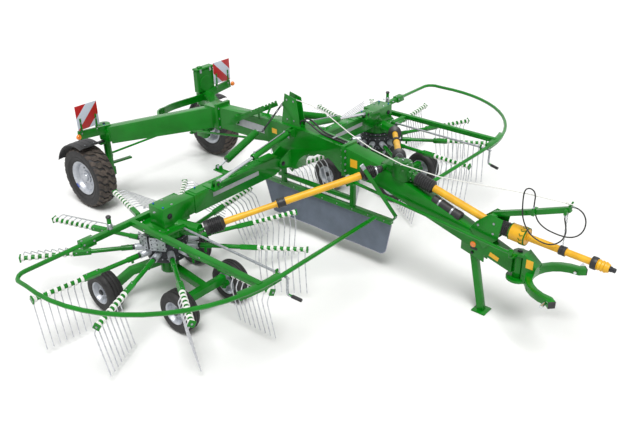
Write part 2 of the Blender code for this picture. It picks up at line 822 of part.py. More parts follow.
def node(name, thing, material, pivot=None):
    """Name a finished solid, give it its finish and its joint's pivot empty."""
    thing.name = name
    thing.data.name = name
    thing.data.materials.clear()
    thing.data.materials.append(MATERIALS[material])
    thing.data.shade_smooth()
    thing.data.set_sharp_from_angle(angle=math.radians(35))
    if pivot is not None:
        holder = bpy.data.objects.new("pivot_" + name, None)
        holder.location = pivot
        machine.objects.link(holder)
        thing.parent = holder
        thing.matrix_parent_inverse = Matrix.Translation(pivot).inverted()
    NODES[name] = (thing, material, pivot)
    return thing


def pair(name, thing, material, pivot=None):
    """The right piece and its mirror image on the left."""
    mesh = thing.data.copy()
    mesh.transform(Matrix.Diagonal((-1, 1, 1, 1)))
    mesh.flip_normals()
    twin = bpy.data.objects.new("left_" + name, mesh)
    machine.objects.link(twin)
    node("right_" + name, thing, material, pivot)
    other = None if pivot is None else (-pivot[0], pivot[1], pivot[2])
    node("left_" + name, twin, material, other)


def polar(radius, degrees, x=0.0, y=0.0):
    """A point of a circle in a plane."""
    return (x + radius * math.cos(math.radians(degrees)), y + radius * math.sin(math.radians(degrees)))


def arc(x, y, radius, start, end, steps):
    """Points along an arc, angles in degrees."""
    return [polar(radius, start + (end - start) * i / steps, x, y) for i in range(steps + 1)]


def sections(rows):
    """A solid through upright rectangles: rows are y, low z, high z and width."""
    shape = bmesh.new()
    rings = []
    for y, low, high, width in rows:
        corners = ((-width / 2, y, low), (width / 2, y, low), (width / 2, y, high), (-width / 2, y, high))
        rings.append([shape.verts.new(corner) for corner in corners])
    for first, second in zip(rings, rings[1:]):
        for j in range(4):
            shape.faces.new((first[j], first[(j + 1) % 4], second[(j + 1) % 4], second[j]))
    shape.faces.new(rings[0])
    shape.faces.new(rings[-1])
    return link_mesh("sections", shape)


# Columns: y, low z, high z, width.
BEAM_ROWS = (
    (FLANGE_Y - FLANGE_THICK, FLANGE_LOW, FRAME_TOP, BEAM_WIDTH),
    (KNEE_Y, KNEE_Z - KNEE_HEIGHT / 2, KNEE_Z + KNEE_HEIGHT / 2, BEAM_WIDTH),
    (NOSE_Y, NOSE_Z - NOSE_HEIGHT / 2, NOSE_Z + NOSE_HEIGHT / 2, NOSE_WIDTH),
)


def above_beam():
    """Cutter that leaves only what stands on top of the front beam."""
    return sections([(y, low - CUTTER, high + SEAT, CUTTER) for y, low, high, width in BEAM_ROWS])


def below_beam():
    """Cutter that leaves only what hangs under the front beam."""
    return sections([(y, low - SEAT, high + CUTTER, CUTTER) for y, low, high, width in BEAM_ROWS])


def beam_size(y, column):
    """One column of the front beam's rows at y, between the knee and the nose."""
    share = (y - KNEE_Y) / (NOSE_Y - KNEE_Y)
    return BEAM_ROWS[1][column] + share * (BEAM_ROWS[2][column] - BEAM_ROWS[1][column])


def make_front_beam():
    """Tapered box beam from the bolted flange down to the hitch barrel."""
    middle = (FRAME_TOP + FLANGE_LOW) / 2
    beam = sections(BEAM_ROWS)
    flange = block((FLANGE_WIDTH, FLANGE_THICK, FLANGE_HEIGHT), (0, FLANGE_Y - FLANGE_THICK / 2 - SEAT, middle))
    barrel = bar((0, HITCH_Y, HITCH_BARREL_LOW), (0, HITCH_Y, HITCH_BARREL_HIGH), HITCH_BARREL_RADIUS)
    ears = [plate(stand_plate_outline(), STAND_PLATE_THICK, (side * STAND_PLATE_X, 0, 0), (0, 1, 0), (0, 0, 1))
            for side in (-1, 1)]
    bore = bar((0, HITCH_Y, HITCH_BARREL_LOW - CUT), (0, HITCH_Y, HITCH_BARREL_HIGH + CUT),
               HITCH_PIN_RADIUS + RUN)
    guide_y = STEER_REAR_Y - STEER_GUIDE
    guide_z = steer_height(guide_y)
    guide = block((STEER_X - BEAM_WIDTH / 2 + STEER_GUIDE, STEER_GUIDE, STEER_GUIDE),
                  (-(STEER_X + BEAM_WIDTH / 2) / 2, guide_y, guide_z))
    passage = bar(steer_point(guide_y - CUT), steer_point(guide_y + CUT), STEER_ROD_RADIUS + 2 * SEAT)
    node("front_beam", fuse([beam, flange, barrel, guide, *ears], [bore, passage]), "green_paint")


def stand_plate_outline():
    """The two plates under the beam that carry the stand's pivot."""
    rear = STAND_PIVOT_Y + STAND_PLATE_LENGTH / 2
    front = STAND_PIVOT_Y - STAND_PLATE_LENGTH / 2
    return [(front, STAND_PIVOT_Z - STAND_TUBE), (rear, STAND_PIVOT_Z), (rear, beam_size(rear, 1) + SINK),
            (front, beam_size(front, 1) + SINK)]


def yoke_route():
    """Middle line of the yoke: a half circle open to the front, with arms that flare a little."""
    bend = arc(0, HITCH_Y - YOKE_BACK - YOKE_BEND, YOKE_BEND, 0, 180, 12)
    tip_y = HITCH_Y - YOKE_REACH
    return [(x, y, YOKE_Z) for x, y in ((YOKE_HALF_WIDTH, tip_y), *bend, (-YOKE_HALF_WIDTH, tip_y))]


def make_headstock():
    """Head that turns on the hitch pin, with the U yoke and its link pins."""
    low = HITCH_BARREL_LOW - SEAT - HITCH_PLATE_THICK
    high = HITCH_BARREL_HIGH + SEAT
    top = high + HITCH_PLATE_THICK
    pin = bar((0, HITCH_Y, low), (0, HITCH_Y, top), HITCH_PIN_RADIUS)
    lower = bar((0, HITCH_Y, low), (0, HITCH_Y, low + HITCH_PLATE_THICK), HITCH_PLATE_RADIUS, sides=20)
    upper = bar((0, HITCH_Y, high), (0, HITCH_Y, top), HITCH_CAP_RADIUS)
    web_y = HITCH_Y - HITCH_BARREL_RADIUS - RUN - HITCH_WEB_THICK / 2
    web = block((HITCH_WEB_WIDTH, HITCH_WEB_THICK, top - low), (0, web_y, (low + top) / 2))
    shelf = block((HITCH_WEB_WIDTH, HITCH_SHELF, HITCH_PLATE_THICK),
                  (0, web_y + HITCH_SHELF / 2, high + HITCH_PLATE_THICK / 2))
    box = plate([(0, HITCH_BOX_HEIGHT), (-HITCH_BOX_LENGTH, HITCH_BOX_LIP), (-HITCH_BOX_FOOT, -HITCH_BOX_DROP),
                 (0, -HITCH_BOX_DROP)],
                HITCH_BOX_WIDTH, (0, web_y + HITCH_BOX_INSET, HITCH_BOX_Z), (0, 1, 0), (0, 0, 1))
    lever_z = high + HITCH_PLATE_THICK / 2
    lever = sweep([(0, HITCH_Y, lever_z), (-STEER_X, HITCH_Y + STEER_LEAD, lever_z)],
                  STEER_LEVER_WIDTH, HITCH_PLATE_THICK)
    yoke = sweep(yoke_route(), YOKE_TUBE, YOKE_TUBE)
    pins = []
    for side in (-1, 1):
        x = side * YOKE_HALF_WIDTH
        y = HITCH_Y - YOKE_REACH + LINK_PIN_INSET
        pins.append(bar((x - side * LINK_PIN_LENGTH / 3, y, YOKE_Z),
                        (x + side * LINK_PIN_LENGTH / 2, y, YOKE_Z), LINK_PIN_RADIUS))
    node("headstock", fuse([web, pin, lower, upper, shelf, box, lever, yoke, *pins]), "green_paint",
         (0, HITCH_Y, YOKE_Z))


def make_stand():
    """Square leg with a foot plate, pinned between two plates under the beam."""
    pivot = Vector((0, STAND_PIVOT_Y, STAND_PIVOT_Z))
    foot = Vector((0, STAND_FOOT_Y, 0))
    axis = (foot - pivot).normalized()
    on_foot = foot + Vector((0, 0, STAND_FOOT_THICK / 2))
    leg = sweep([pivot - axis * STAND_TUBE / 2, on_foot], STAND_TUBE, STAND_TUBE)
    plate_foot = block((STAND_FOOT_LENGTH, STAND_FOOT_LENGTH, STAND_FOOT_THICK), on_foot)
    below = block((CUTTER, CUTTER, CUTTER), foot - Vector((0, 0, CUTTER / 2)))
    node("stand", fuse([leg, plate_foot], [below]), "green_paint", pivot)


def frame_outline():
    """Side of the centre frame: swath arch at the front, boom fork under the tower."""
    rise = ARCH_TOP - FORK_LOW
    front = [(ARCH_Y - ARCH_FRONT * math.cos(turn), FORK_LOW + rise * math.sin(turn))
             for turn in (math.radians(a) for a in (60, 75, 90))]
    behind = [(ARCH_Y + (FORK_FRONT - ARCH_Y) * math.cos(turn), FORK_LOW + rise * math.sin(turn))
              for turn in (math.radians(a) for a in (75, 60, 45, 30, 15, 0))]
    corner = FORK_REAR + FORK_CORNER
    return [(FLANGE_Y, FRAME_TOP), (FLANGE_Y, FLANGE_LOW), (FLANGE_Y + FLANGE_TOE, FLANGE_LOW), *front, *behind,
            (FORK_REAR, FORK_LOW), (corner, REAR_BEAM_TOP - REAR_BEAM_HEIGHT), (corner, REAR_BEAM_TOP),
            (TOWER_FRONT - SADDLE_FRONT, REAR_BEAM_TOP)]


def ear_outline():
    """Ear that carries a boom pivot: a lug with a round end, from the frame's side outward."""
    root = BEAM_WIDTH / 2 - EAR_SINK
    nose = arc(PIVOT_X, PIVOT_Z, EAR_NOSE, -70, 80, 5)
    return [(root, PIVOT_Z - EAR_BELOW), *nose, (root, PIVOT_Z + EAR_ABOVE)]


def lift_ear_outline():
    """Ear under the tower that carries a lift cylinder's upper pin."""
    root = BEAM_WIDTH / 2 - EAR_SINK
    return [(root, LIFT_TOP_Z - LIFT_EAR_DROP), (LIFT_TOP_X + LIFT_EAR_LIP, LIFT_TOP_Z - LIFT_EAR_NOSE),
            (LIFT_TOP_X + LIFT_EAR_NOSE, LIFT_TOP_Z + LIFT_EAR_LIP), (root, LIFT_TOP_Z + LIFT_EAR_NOSE)]


def tower_outline():
    """One side plate of the tower, narrower at its top."""
    foot = REAR_BEAM_TOP - TOWER_SINK
    return [(TOWER_FRONT - TOWER_TOE, foot), (TOWER_REAR + TOWER_HEEL, foot),
            (TOWER_REAR - TOWER_LEAN_REAR, TOWER_TOP), (TOWER_FRONT + TOWER_LEAN_FRONT, TOWER_TOP - TOWER_TOP_DROP)]


def make_centre_frame():
    """Arch, boom fork, tower and rear beam: the machine's backbone."""
    body = plate(frame_outline(), BEAM_WIDTH, (0, 0, 0), (0, 1, 0), (0, 0, 1))
    flange = block((FLANGE_WIDTH, FLANGE_THICK, FLANGE_HEIGHT),
                   (0, FLANGE_Y + FLANGE_THICK / 2, (FRAME_TOP + FLANGE_LOW) / 2))
    rear = sections([(FORK_REAR, REAR_BEAM_TOP - REAR_BEAM_HEIGHT, REAR_BEAM_TOP, REAR_BEAM_WIDTH),
                     (JUNCTION_Y, JUNCTION_Z - JUNCTION_BELOW, JUNCTION_Z + JUNCTION_ABOVE, REAR_BEAM_WIDTH)])
    rear_flange = block((REAR_FLANGE_WIDTH, FLANGE_THICK, REAR_FLANGE_HEIGHT),
                        (0, JUNCTION_Y - FLANGE_THICK / 2, JUNCTION_Z + REAR_FLANGE_LIFT))
    pieces = [body, flange, rear, rear_flange]
    for side in (-1, 1):
        x = side * (TOWER_HALF_WIDTH - TOWER_PLATE / 2)
        pieces.append(plate(tower_outline(), TOWER_PLATE, (x, 0, 0), (0, 1, 0), (0, 0, 1)))
        for y in (BOOM_Y - EAR_Y, BOOM_Y + EAR_Y):
            pieces.append(plate(ear_outline(), EAR_THICK, (0, y, 0), (side, 0, 0), (0, 0, 1)))
        for y in (LIFT_Y - LIFT_EAR_Y, LIFT_Y + LIFT_EAR_Y):
            pieces.append(plate(lift_ear_outline(), EAR_THICK, (0, y, 0), (side, 0, 0), (0, 0, 1)))
        pieces.append(make_rack(side))
    web = block((TOWER_HALF_WIDTH * 2 - TOWER_PLATE, TOWER_PLATE, TOWER_TOP - REAR_BEAM_TOP),
                (0, TOWER_FRONT + TOWER_WEB_IN, (TOWER_TOP + REAR_BEAM_TOP) / 2 - TOWER_WEB_DROP))
    hook_start = TOWER_REAR - CHAIN_HOOK
    hook_end = CHAIN_Y - CHAIN_LINK_RADIUS * LINK_FACET_SHARE - SEAT
    hook = block((TOWER_HALF_WIDTH * 2, hook_end - hook_start, CHAIN_HOOK), (0, (hook_end + hook_start) / 2, CHAIN_Z))
    node("centre_frame", fuse([*pieces, web, hook]), "green_paint")


def make_rack(side):
    """Notched flat bar that holds spare tine arms, on two feet on the rear beam."""
    start = Vector((RACK_FRONT_Y, RACK_FRONT_Z))
    end = Vector((RACK_REAR_Y, RACK_REAR_Z))
    along = (end - start).normalized()
    over = Vector((-along.y, along.x))
    if over.y < 0:
        over = -over
    half = over * RACK_HEIGHT / 2
    outline = [tuple(start - half), tuple(start + half)]
    for i in range(RACK_NOTCHES):
        middle = start + along * (RACK_NOTCH_PITCH * (i + RACK_FIRST_SHARE)) + half
        for a in (180, 225, 270, 315, 360):
            turn = math.radians(a)
            outline.append(tuple(middle + (along * math.cos(turn) + over * math.sin(turn)) * RACK_NOTCH_RADIUS))
    outline += [tuple(end + half), tuple(end - half)]
    strip = plate(outline, RACK_THICK, (side * RACK_X, 0, 0), (0, 1, 0), (0, 0, 1))
    foot = block((RACK_FOOT_WIDTH, RACK_FOOT_LENGTH, RACK_FOOT_HEIGHT),
                 (side * (RACK_X - RACK_FOOT_WIDTH / 2), RACK_FOOT_Y, RACK_FOOT_Z))
    strut = sweep([(side * x, y, z) for x, y, z in RACK_STRUT_ENDS], RACK_STRUT, RACK_STRUT)
    return merge([strip, foot, strut])


def make_rear_frame():
    """V frame from the bolted junction out to the two kingpins, with the board brackets."""
    start_y = JUNCTION_Y + SEAT
    flange = block((REAR_FLANGE_WIDTH, FLANGE_THICK, REAR_FLANGE_HEIGHT),
                   (0, start_y + FLANGE_THICK / 2, JUNCTION_Z + REAR_FLANGE_LIFT))
    root = block((ROOT_WIDTH, ROOT_LENGTH, ROOT_HEIGHT), (0, start_y + ROOT_LENGTH / 2, JUNCTION_Z))
    pieces = [flange, root]
    cuts = []
    for side in (-1, 1):
        arm = sweep([(0, start_y + ARM_ROOT, JUNCTION_Z), (side * ARM_END_X, ARM_END_Y, ARM_END_Z)],
                    ARM_WIDTH, (ARM_HEIGHT * ARM_ROOT_SHARE, ARM_HEIGHT))
        socket = bar((side * KINGPIN_X, KINGPIN_Y, KINGPIN_TOP),
                     (side * KINGPIN_X, KINGPIN_Y, ARM_END_Z + SOCKET_ABOVE), SOCKET_RADIUS, sides=16)
        cheek = block((CHEEK_WIDTH, CHEEK_LENGTH, CHEEK_HEIGHT),
                      (side * KINGPIN_X, KINGPIN_Y - CHEEK_AHEAD, ARM_END_Z))
        shelf_y = BOARD_Y + BOARD_SHELF_BACK
        shelf = sweep([(side * (KINGPIN_X - KINGPIN_CORE), shelf_y, ARM_END_Z + BOARD_SHELF_DROP),
                       (side * (BOARD_X + BOARD_SIDE / 2), shelf_y, BOARD_LOW - BOARD_SHELF_DROP)],
                      BOARD_SHELF_WIDTH, BOARD_SHELF_HEIGHT)
        pieces += [arm, socket, cheek, shelf]
        for x in (BOARD_X - BOARD_STRAP_X, BOARD_X + BOARD_STRAP_X):
            pieces.append(block((BOARD_STRAP_WIDTH, BOARD_STRAP_THICK, BOARD_STRAP_LENGTH),
                                (side * x, BOARD_Y + BOARD_STANDOFF, BOARD_LOW + BOARD_STANDOFF)))
        cuts.append(bar((side * KINGPIN_X, KINGPIN_Y, KINGPIN_TOP - CUT),
                        (side * KINGPIN_X, KINGPIN_Y, ARM_END_Z + KINGPIN_ABOVE), KINGPIN_CORE + RUN))
    node("rear_frame", fuse(pieces, cuts), "green_paint")


def make_knuckles():
    """Steered knuckle: kingpin post, wheel axle and steering arm."""
    x, y = KINGPIN_X, KINGPIN_Y
    z = REAR_TYRE_RADIUS
    post = bar(out(x, y, z - KINGPIN_BELOW), out(x, y, KINGPIN_TOP - SEAT), KINGPIN_RADIUS)
    pin = bar(out(x, y, KINGPIN_TOP - KINGPIN_DEPTH), out(x, y, ARM_END_Z + KINGPIN_DEPTH), KINGPIN_CORE)
    carrier = block((CARRIER_WIDTH, CARRIER_LENGTH, CARRIER_HEIGHT), out(x, (y + REAR_AXLE_Y) / 2, z))
    axle = bar(out(x, REAR_AXLE_Y, z), out(REAR_WHEEL_X + REAR_AXLE_PAST, REAR_AXLE_Y, z), REAR_AXLE_RADIUS)
    shoulder = bar(out(x, REAR_AXLE_Y, z), out(REAR_WHEEL_X - RIM_HUB_HALF - SEAT, REAR_AXLE_Y, z), REAR_SHOULDER)
    drag_arm = sweep([out(x, y, TRACK_Z), out(DRAG_ARM_X - LINK_PAST, y - DRAG_ARM_AHEAD, TRACK_Z)],
                     STEER_ARM_WIDTH, STEER_ARM_THICK)
    arm = sweep([out(x, y, TRACK_Z), out(TRACK_ARM_X, TRACK_ARM_Y, TRACK_Z)], STEER_ARM_WIDTH, STEER_ARM_THICK)
    shelf = block((FENDER_FOOT_WIDTH, FENDER_FOOT_LENGTH, FENDER_FOOT_THICK),
                  out(x + FENDER_FOOT_X, y, FENDER_SEAT_Z - FENDER_FOOT_THICK / 2))
    knuckle = fuse([post, pin, carrier, axle, shoulder, arm, drag_arm, shelf])
    pair("knuckle", knuckle, "green_paint", tuple(out(x, y, z)))


def make_rear_wheels():
    """Rim and wide flotation tyre, both turned."""
    r = REAR_TYRE_RADIUS
    w = REAR_TYRE_WIDTH / 2
    rim = REAR_RIM_RADIUS
    seat = rim - RIM_SEAT_DEPTH
    middle = out(REAR_WHEEL_X, REAR_AXLE_Y, r)
    toward = out(REAR_WHEEL_X + r, REAR_AXLE_Y, r)
    bead, wall, crown = TYRE_WIDTH_SHARES
    shoulder, high = TYRE_HEIGHT_SHARES
    half = [(seat + SEAT, w * RIM_SEAT_SHARE), (rim + TYRE_BEAD, w * bead), (r * shoulder, w),
            (r * high, w * wall), (r, w * crown)]
    tyre_profile = [(radius, -along) for radius, along in half] + half[::-1] + [(seat + SEAT, -w * RIM_SEAT_SHARE)]
    tyre = turned(tyre_profile, middle, toward, sides=REAR_SIDES)
    pair("rear_tyre", tyre, "tyre_rubber", tuple(middle))
    bore = REAR_AXLE_RADIUS + RUN
    hub = RIM_HUB_HALF
    edge, lip = RIM_EDGE_SHARES
    rim_profile = [(bore, -hub), (RIM_HUB_RADIUS, -hub), (RIM_DISH_RADIUS, 0), (seat - RIM_SLOPE, RIM_DISH_RISE),
                   (seat - RIM_WALL, -w * RIM_FLOOR_SHARE), (rim, -w * edge), (rim + RIM_LIP, -w * lip),
                   (seat, -w * RIM_SEAT_SHARE), (seat, w * RIM_SEAT_SHARE), (rim + RIM_LIP, w * lip), (rim, w * edge),
                   (seat - RIM_SEAT_DEPTH, w * RIM_BACK_SHARE), (seat - RIM_FLOOR, RIM_SLOPE),
                   (RIM_DISH_RADIUS, RIM_DISH_THICK), (RIM_HUB_RADIUS, hub), (bore, hub), (bore, -hub)]
    wheel = turned(rim_profile, middle, toward, sides=REAR_SIDES)
    pair("rear_rim", wheel, "silver_steel", tuple(middle))


def steer_height(y):
    """Height of the steering rod's middle line at y."""
    front = HITCH_Y + STEER_LEAD
    return STEER_FRONT_Z + (y - front) / (STEER_REAR_Y - front) * (STEER_REAR_Z - STEER_FRONT_Z)


def steer_point(y):
    """Point of the steering rod's middle line at y."""
    return Vector((-STEER_X, y, steer_height(y)))


def make_steering():
    """Steering rod beside the front beam, drag link under the rear beam, and track rod."""
    front = steer_point(HITCH_Y + STEER_LEAD)
    rod = bar(front, steer_point(STEER_REAR_Y), STEER_ROD_RADIUS)
    eye = bar(front - Vector((0, 0, STEER_ROD_RADIUS)), front + Vector((0, 0, LINK_EYE_ABOVE)), LINK_EYE_RADIUS)
    node("steering_rod", fuse([rod, eye]), "green_paint", tuple(front))
    low = TRACK_Z + STEER_ARM_THICK / 2 + SEAT
    start = Vector((DRAG_ARM_X, KINGPIN_Y - DRAG_ARM_AHEAD, low + LINK_RADIUS))
    end = Vector((DRAG_FRONT_X, DRAG_FRONT_Y, DRAG_FRONT_Z))
    joint = bar(start - Vector((0, 0, LINK_RADIUS)), start + Vector((0, 0, LINK_EYE_ABOVE)), LINK_EYE_RADIUS)
    link = bar(start + Vector((0, 0, LINK_LIFT)), end, LINK_RADIUS)
    node("drag_link", fuse([joint, link]), "green_paint", tuple(start))
    track_end = TRACK_ARM_X + LINK_PAST
    track = bar((-track_end, TRACK_ARM_Y, low + LINK_RADIUS), (track_end, TRACK_ARM_Y, low + LINK_RADIUS), LINK_RADIUS)
    node("track_rod", track, "green_paint", (0, TRACK_ARM_Y, low))


def make_boards():
    """Square warning boards on their straps behind the mudguards."""
    face = BOARD_Y + BOARD_STANDOFF - BOARD_STRAP_THICK / 2
    board = block((BOARD_SIDE, BOARD_THICK, BOARD_SIDE),
                  out(BOARD_X, face - BOARD_THICK / 2 - SEAT, BOARD_LOW + BOARD_SIDE / 2))
    pair("board", board, "board_red_white")


def make_booms():
    """Hollow boom that folds on its pivot, with the brackets for cylinder and spring."""
    length = BOOM_OUTER_X - BOOM_INNER_X
    middle_x = (BOOM_OUTER_X + BOOM_INNER_X) / 2
    tube = block((length, BOOM_WIDTH, BOOM_HEIGHT), out(middle_x, BOOM_Y, PIVOT_Z))
    half = BOOM_HEIGHT / 2
    root = plate([(-PIVOT_X - x, PIVOT_Z + z) for x, z in
                  ((BOOM_ROOT_REACH, half), (BOOM_ROOT_BACK, BOOM_ROOT_HALF), (-BOOM_ROOT_TIP, BOOM_ROOT_TIP_HALF),
                   (-BOOM_ROOT_NOSE, -BOOM_ROOT_TIP_HALF), (-BOOM_ROOT_LOW_BACK, -BOOM_ROOT_HALF),
                   (BOOM_ROOT_REACH, -half))],
                 BOOM_WIDTH, (0, BOOM_Y, 0), (1, 0, 0), (0, 0, 1))
    top = PIVOT_Z + half
    lift_shelf = block((LIFT_SHELF_LENGTH, BOOM_Y - LIFT_Y + LIFT_SHELF_EXTRA, LIFT_SHELF_THICK),
                       out(LIFT_EYE_X, (BOOM_Y + LIFT_Y) / 2 - LIFT_SHELF_SHIFT, top + LIFT_SHELF_RISE))
    spring_shelf = block((SPRING_SHELF_LENGTH, SPRING_Y - BOOM_Y + SPRING_SHELF_EXTRA, SPRING_SHELF_THICK),
                         out(SPRING_FOOT_X, (BOOM_Y + SPRING_Y) / 2, top + SPRING_SHELF_RISE))
    pieces = [tube, root, lift_shelf, spring_shelf]
    for y in (LIFT_Y - LIFT_EAR_Y, LIFT_Y + LIFT_EAR_Y):
        head = LIFT_EYE_Z + LIFT_LUG_ABOVE
        pieces.append(plate([(-LIFT_EYE_X - LIFT_LUG_FOOT, top), (-LIFT_EYE_X - LIFT_LUG_TOP, head),
                             (-LIFT_EYE_X + LIFT_LUG_TOP, head), (-LIFT_EYE_X + LIFT_LUG_FOOT, top)],
                            EAR_THICK, (0, y, 0), (1, 0, 0), (0, 0, 1)))
    for y in (SPRING_Y - SPRING_LUG_Y, SPRING_Y + SPRING_LUG_Y):
        head = SPRING_FOOT_Z + SPRING_LUG_ABOVE
        pieces.append(plate([(-SPRING_FOOT_X - SPRING_LUG_FOOT, top), (-SPRING_FOOT_X - SPRING_LUG_TOP, head),
                             (-SPRING_FOOT_X + SPRING_LUG_TOP, head), (-SPRING_FOOT_X + SPRING_LUG_FOOT, top)],
                            SPRING_LUG_THICK, (0, y, 0), (1, 0, 0), (0, 0, 1)))
    hollow = block((length + CUT, BOOM_WIDTH - 2 * BOOM_WALL, BOOM_HEIGHT - 2 * BOOM_WALL),
                   out(middle_x + CUT / 2 + BOOM_FILL / 2, BOOM_Y, PIVOT_Z))
    pair("boom", fuse(pieces, [hollow]), "green_paint", tuple(out(PIVOT_X, BOOM_Y, PIVOT_Z)))


def make_heads():
    """Telescope tube with the rotor head: plate, cam housing, gear housing and core shaft."""
    width = BOOM_WIDTH - 2 * BOOM_WALL - 2 * SEAT
    height = BOOM_HEIGHT - 2 * BOOM_WALL - 2 * SEAT
    inner = BOOM_INNER_X + BOOM_FILL + TELE_SLACK
    outer = HUB_X - TELE_SHORT
    tube = block((outer - inner, width, height), out((outer + inner) / 2, BOOM_Y, PIVOT_Z))
    plate_top = HEAD_PLATE_LOW + HEAD_PLATE_THICK
    cap_low = plate_top - SADDLE_SINK
    cap_high = PIVOT_Z + height / 2
    saddle = block((SADDLE_LENGTH, SADDLE_WIDTH, cap_high - cap_low),
                   out(outer + SADDLE_OUT, HUB_Y - SADDLE_SHIFT, (cap_low + cap_high) / 2))
    disc = bar(out(HUB_X, HUB_Y, HEAD_PLATE_LOW), out(HUB_X, HUB_Y, plate_top), HEAD_PLATE_RADIUS, sides=18)
    cam = bar(out(HUB_X, HUB_Y, CAM_LOW), out(HUB_X, HUB_Y, HEAD_PLATE_LOW + CAM_SINK), CAM_RADIUS, sides=18)
    core = bar(out(HUB_X, HUB_Y, POT_HIGH + SEAT), out(HUB_X, HUB_Y, CAM_LOW + CORE_SINK), CORE_RADIUS, sides=16)
    joint = out(JOINT_X, JOINT_Y, JOINT_Z)
    end = out(HEAD_INPUT_X, HEAD_INPUT_Y, HEAD_INPUT_Z)
    away = (end - joint).normalized()
    neck = bar(end - away * HEAD_INPUT_HALF, end + away * HEAD_INPUT_HALF, HEAD_INPUT_RADIUS)
    box = bar(end + away * HEAD_INPUT_BOX,
              out(HUB_X - HEAD_BOX_IN, HUB_Y - HEAD_BOX_AHEAD, HEAD_PLATE_LOW - HEAD_BOX_DROP),
              HEAD_BOX_RADIUS, HEAD_BOX_END_RADIUS)
    pair("rotor_head", fuse([tube, saddle, disc, cam, core, neck, box]), "green_paint",
         tuple(out(HUB_X, BOOM_Y, PIVOT_Z)))


def rings_along_x(rows, sides, first_degrees):
    """A many-sided solid along X: rows are radius and x, with a corner at first_degrees."""
    shape = bmesh.new()
    rings = []
    for radius, x in rows:
        corners = [polar(radius, first_degrees + 360 / sides * j) for j in range(sides)]
        rings.append([shape.verts.new((x, y, z)) for y, z in corners])
    for one, two in zip(rings, rings[1:]):
        for j in range(sides):
            shape.faces.new((one[j], one[(j + 1) % sides], two[(j + 1) % sides], two[j]))
    shape.faces.new(rings[0])
    shape.faces.new(rings[-1])
    return link_mesh("rings", shape)


def tine(x):
    """One bent spring tine as a three-sided wire from the arm's middle line."""
    kink = math.radians(KINK_DOWN)
    leg = math.radians(LEG_DOWN)
    start = Vector((x, 0, 0))
    first = Vector((0, math.cos(kink), -math.sin(kink)))
    second = Vector((0, math.cos(leg), -math.sin(leg)))
    bend = start + first * TINE_KINK
    tip = bend + second * TINE_LEG
    shape = bmesh.new()
    rings = []
    for point, along in ((start, first), (bend, (first + second).normalized()), (tip, second)):
        over = Vector((1, 0, 0)).cross(along)
        corners = [Vector((1, 0, 0)) * math.cos(turn) + over * math.sin(turn)
                   for turn in (math.radians(a) for a in (90, 210, 330))]
        rings.append([shape.verts.new(point + corner * TINE_RADIUS) for corner in corners])
    for one, two in zip(rings, rings[1:]):
        for j in range(3):
            shape.faces.new((one[j], one[(j + 1) % 3], two[(j + 1) % 3], two[j]))
    shape.faces.new(rings[0])
    shape.faces.new(rings[-1])
    return link_mesh("tine", shape)


def make_tine_arm():
    """One tine arm along +X at the origin, tines down: socket, tube and tines."""
    # Columns: radius, distance from the hub.
    rows = [(ARM_SOCKET_RADIUS, ROTOR_RADIUS - ARM_SOCKET_IN), (ARM_SOCKET_RADIUS, ARM_SOCKET_END),
            (ARM_TUBE_RADIUS, ARM_SOCKET_END), (ARM_TUBE_RADIUS, ARM_TIP)]
    tube = rings_along_x(rows, 6, -KINK_DOWN + 30)
    return fuse([tube, *(tine(FIRST_TINE + TINE_PITCH * i) for i in range(TINES))])


def make_rotors():
    """Rotor: drum with its bore, eleven arms and their tines, all one turning body."""
    drum = bar((0, 0, ROTOR_LOW), (0, 0, ROTOR_HIGH), ROTOR_RADIUS, sides=22)
    bore = bar((0, 0, ROTOR_LOW - CUT), (0, 0, ROTOR_HIGH + CUT), ROTOR_BORE, sides=16)
    pieces = [drum]
    master = make_tine_arm()
    for i in range(ARMS):
        mesh = master.data.copy()
        turn = Matrix.Rotation(math.radians(FIRST_ARM + 360 / ARMS * i), 4, "Z")
        lift = Matrix.Rotation(math.radians(RAISE * RAISED_SHARES[i]), 4, "X")
        mesh.transform(Matrix.Translation((0, 0, ARM_Z)) @ turn @ Matrix.Diagonal((1, -1, 1, 1)) @ lift)
        mesh.flip_normals()
        arm = bpy.data.objects.new("arm", mesh)
        machine.objects.link(arm)
        pieces.append(arm)
    bpy.data.objects.remove(master, do_unlink=True)
    rotor = fuse(pieces, [bore])
    rotor.data.transform(Matrix.Translation(out(HUB_X, HUB_Y, 0)))
    pair("rotor", rotor, "green_paint", tuple(out(HUB_X, HUB_Y, ARM_Z)))


def from_hub(x, y, z):
    """A point by its place from the rotor's axis on the ground."""
    return out(HUB_X + x, HUB_Y + y, z)


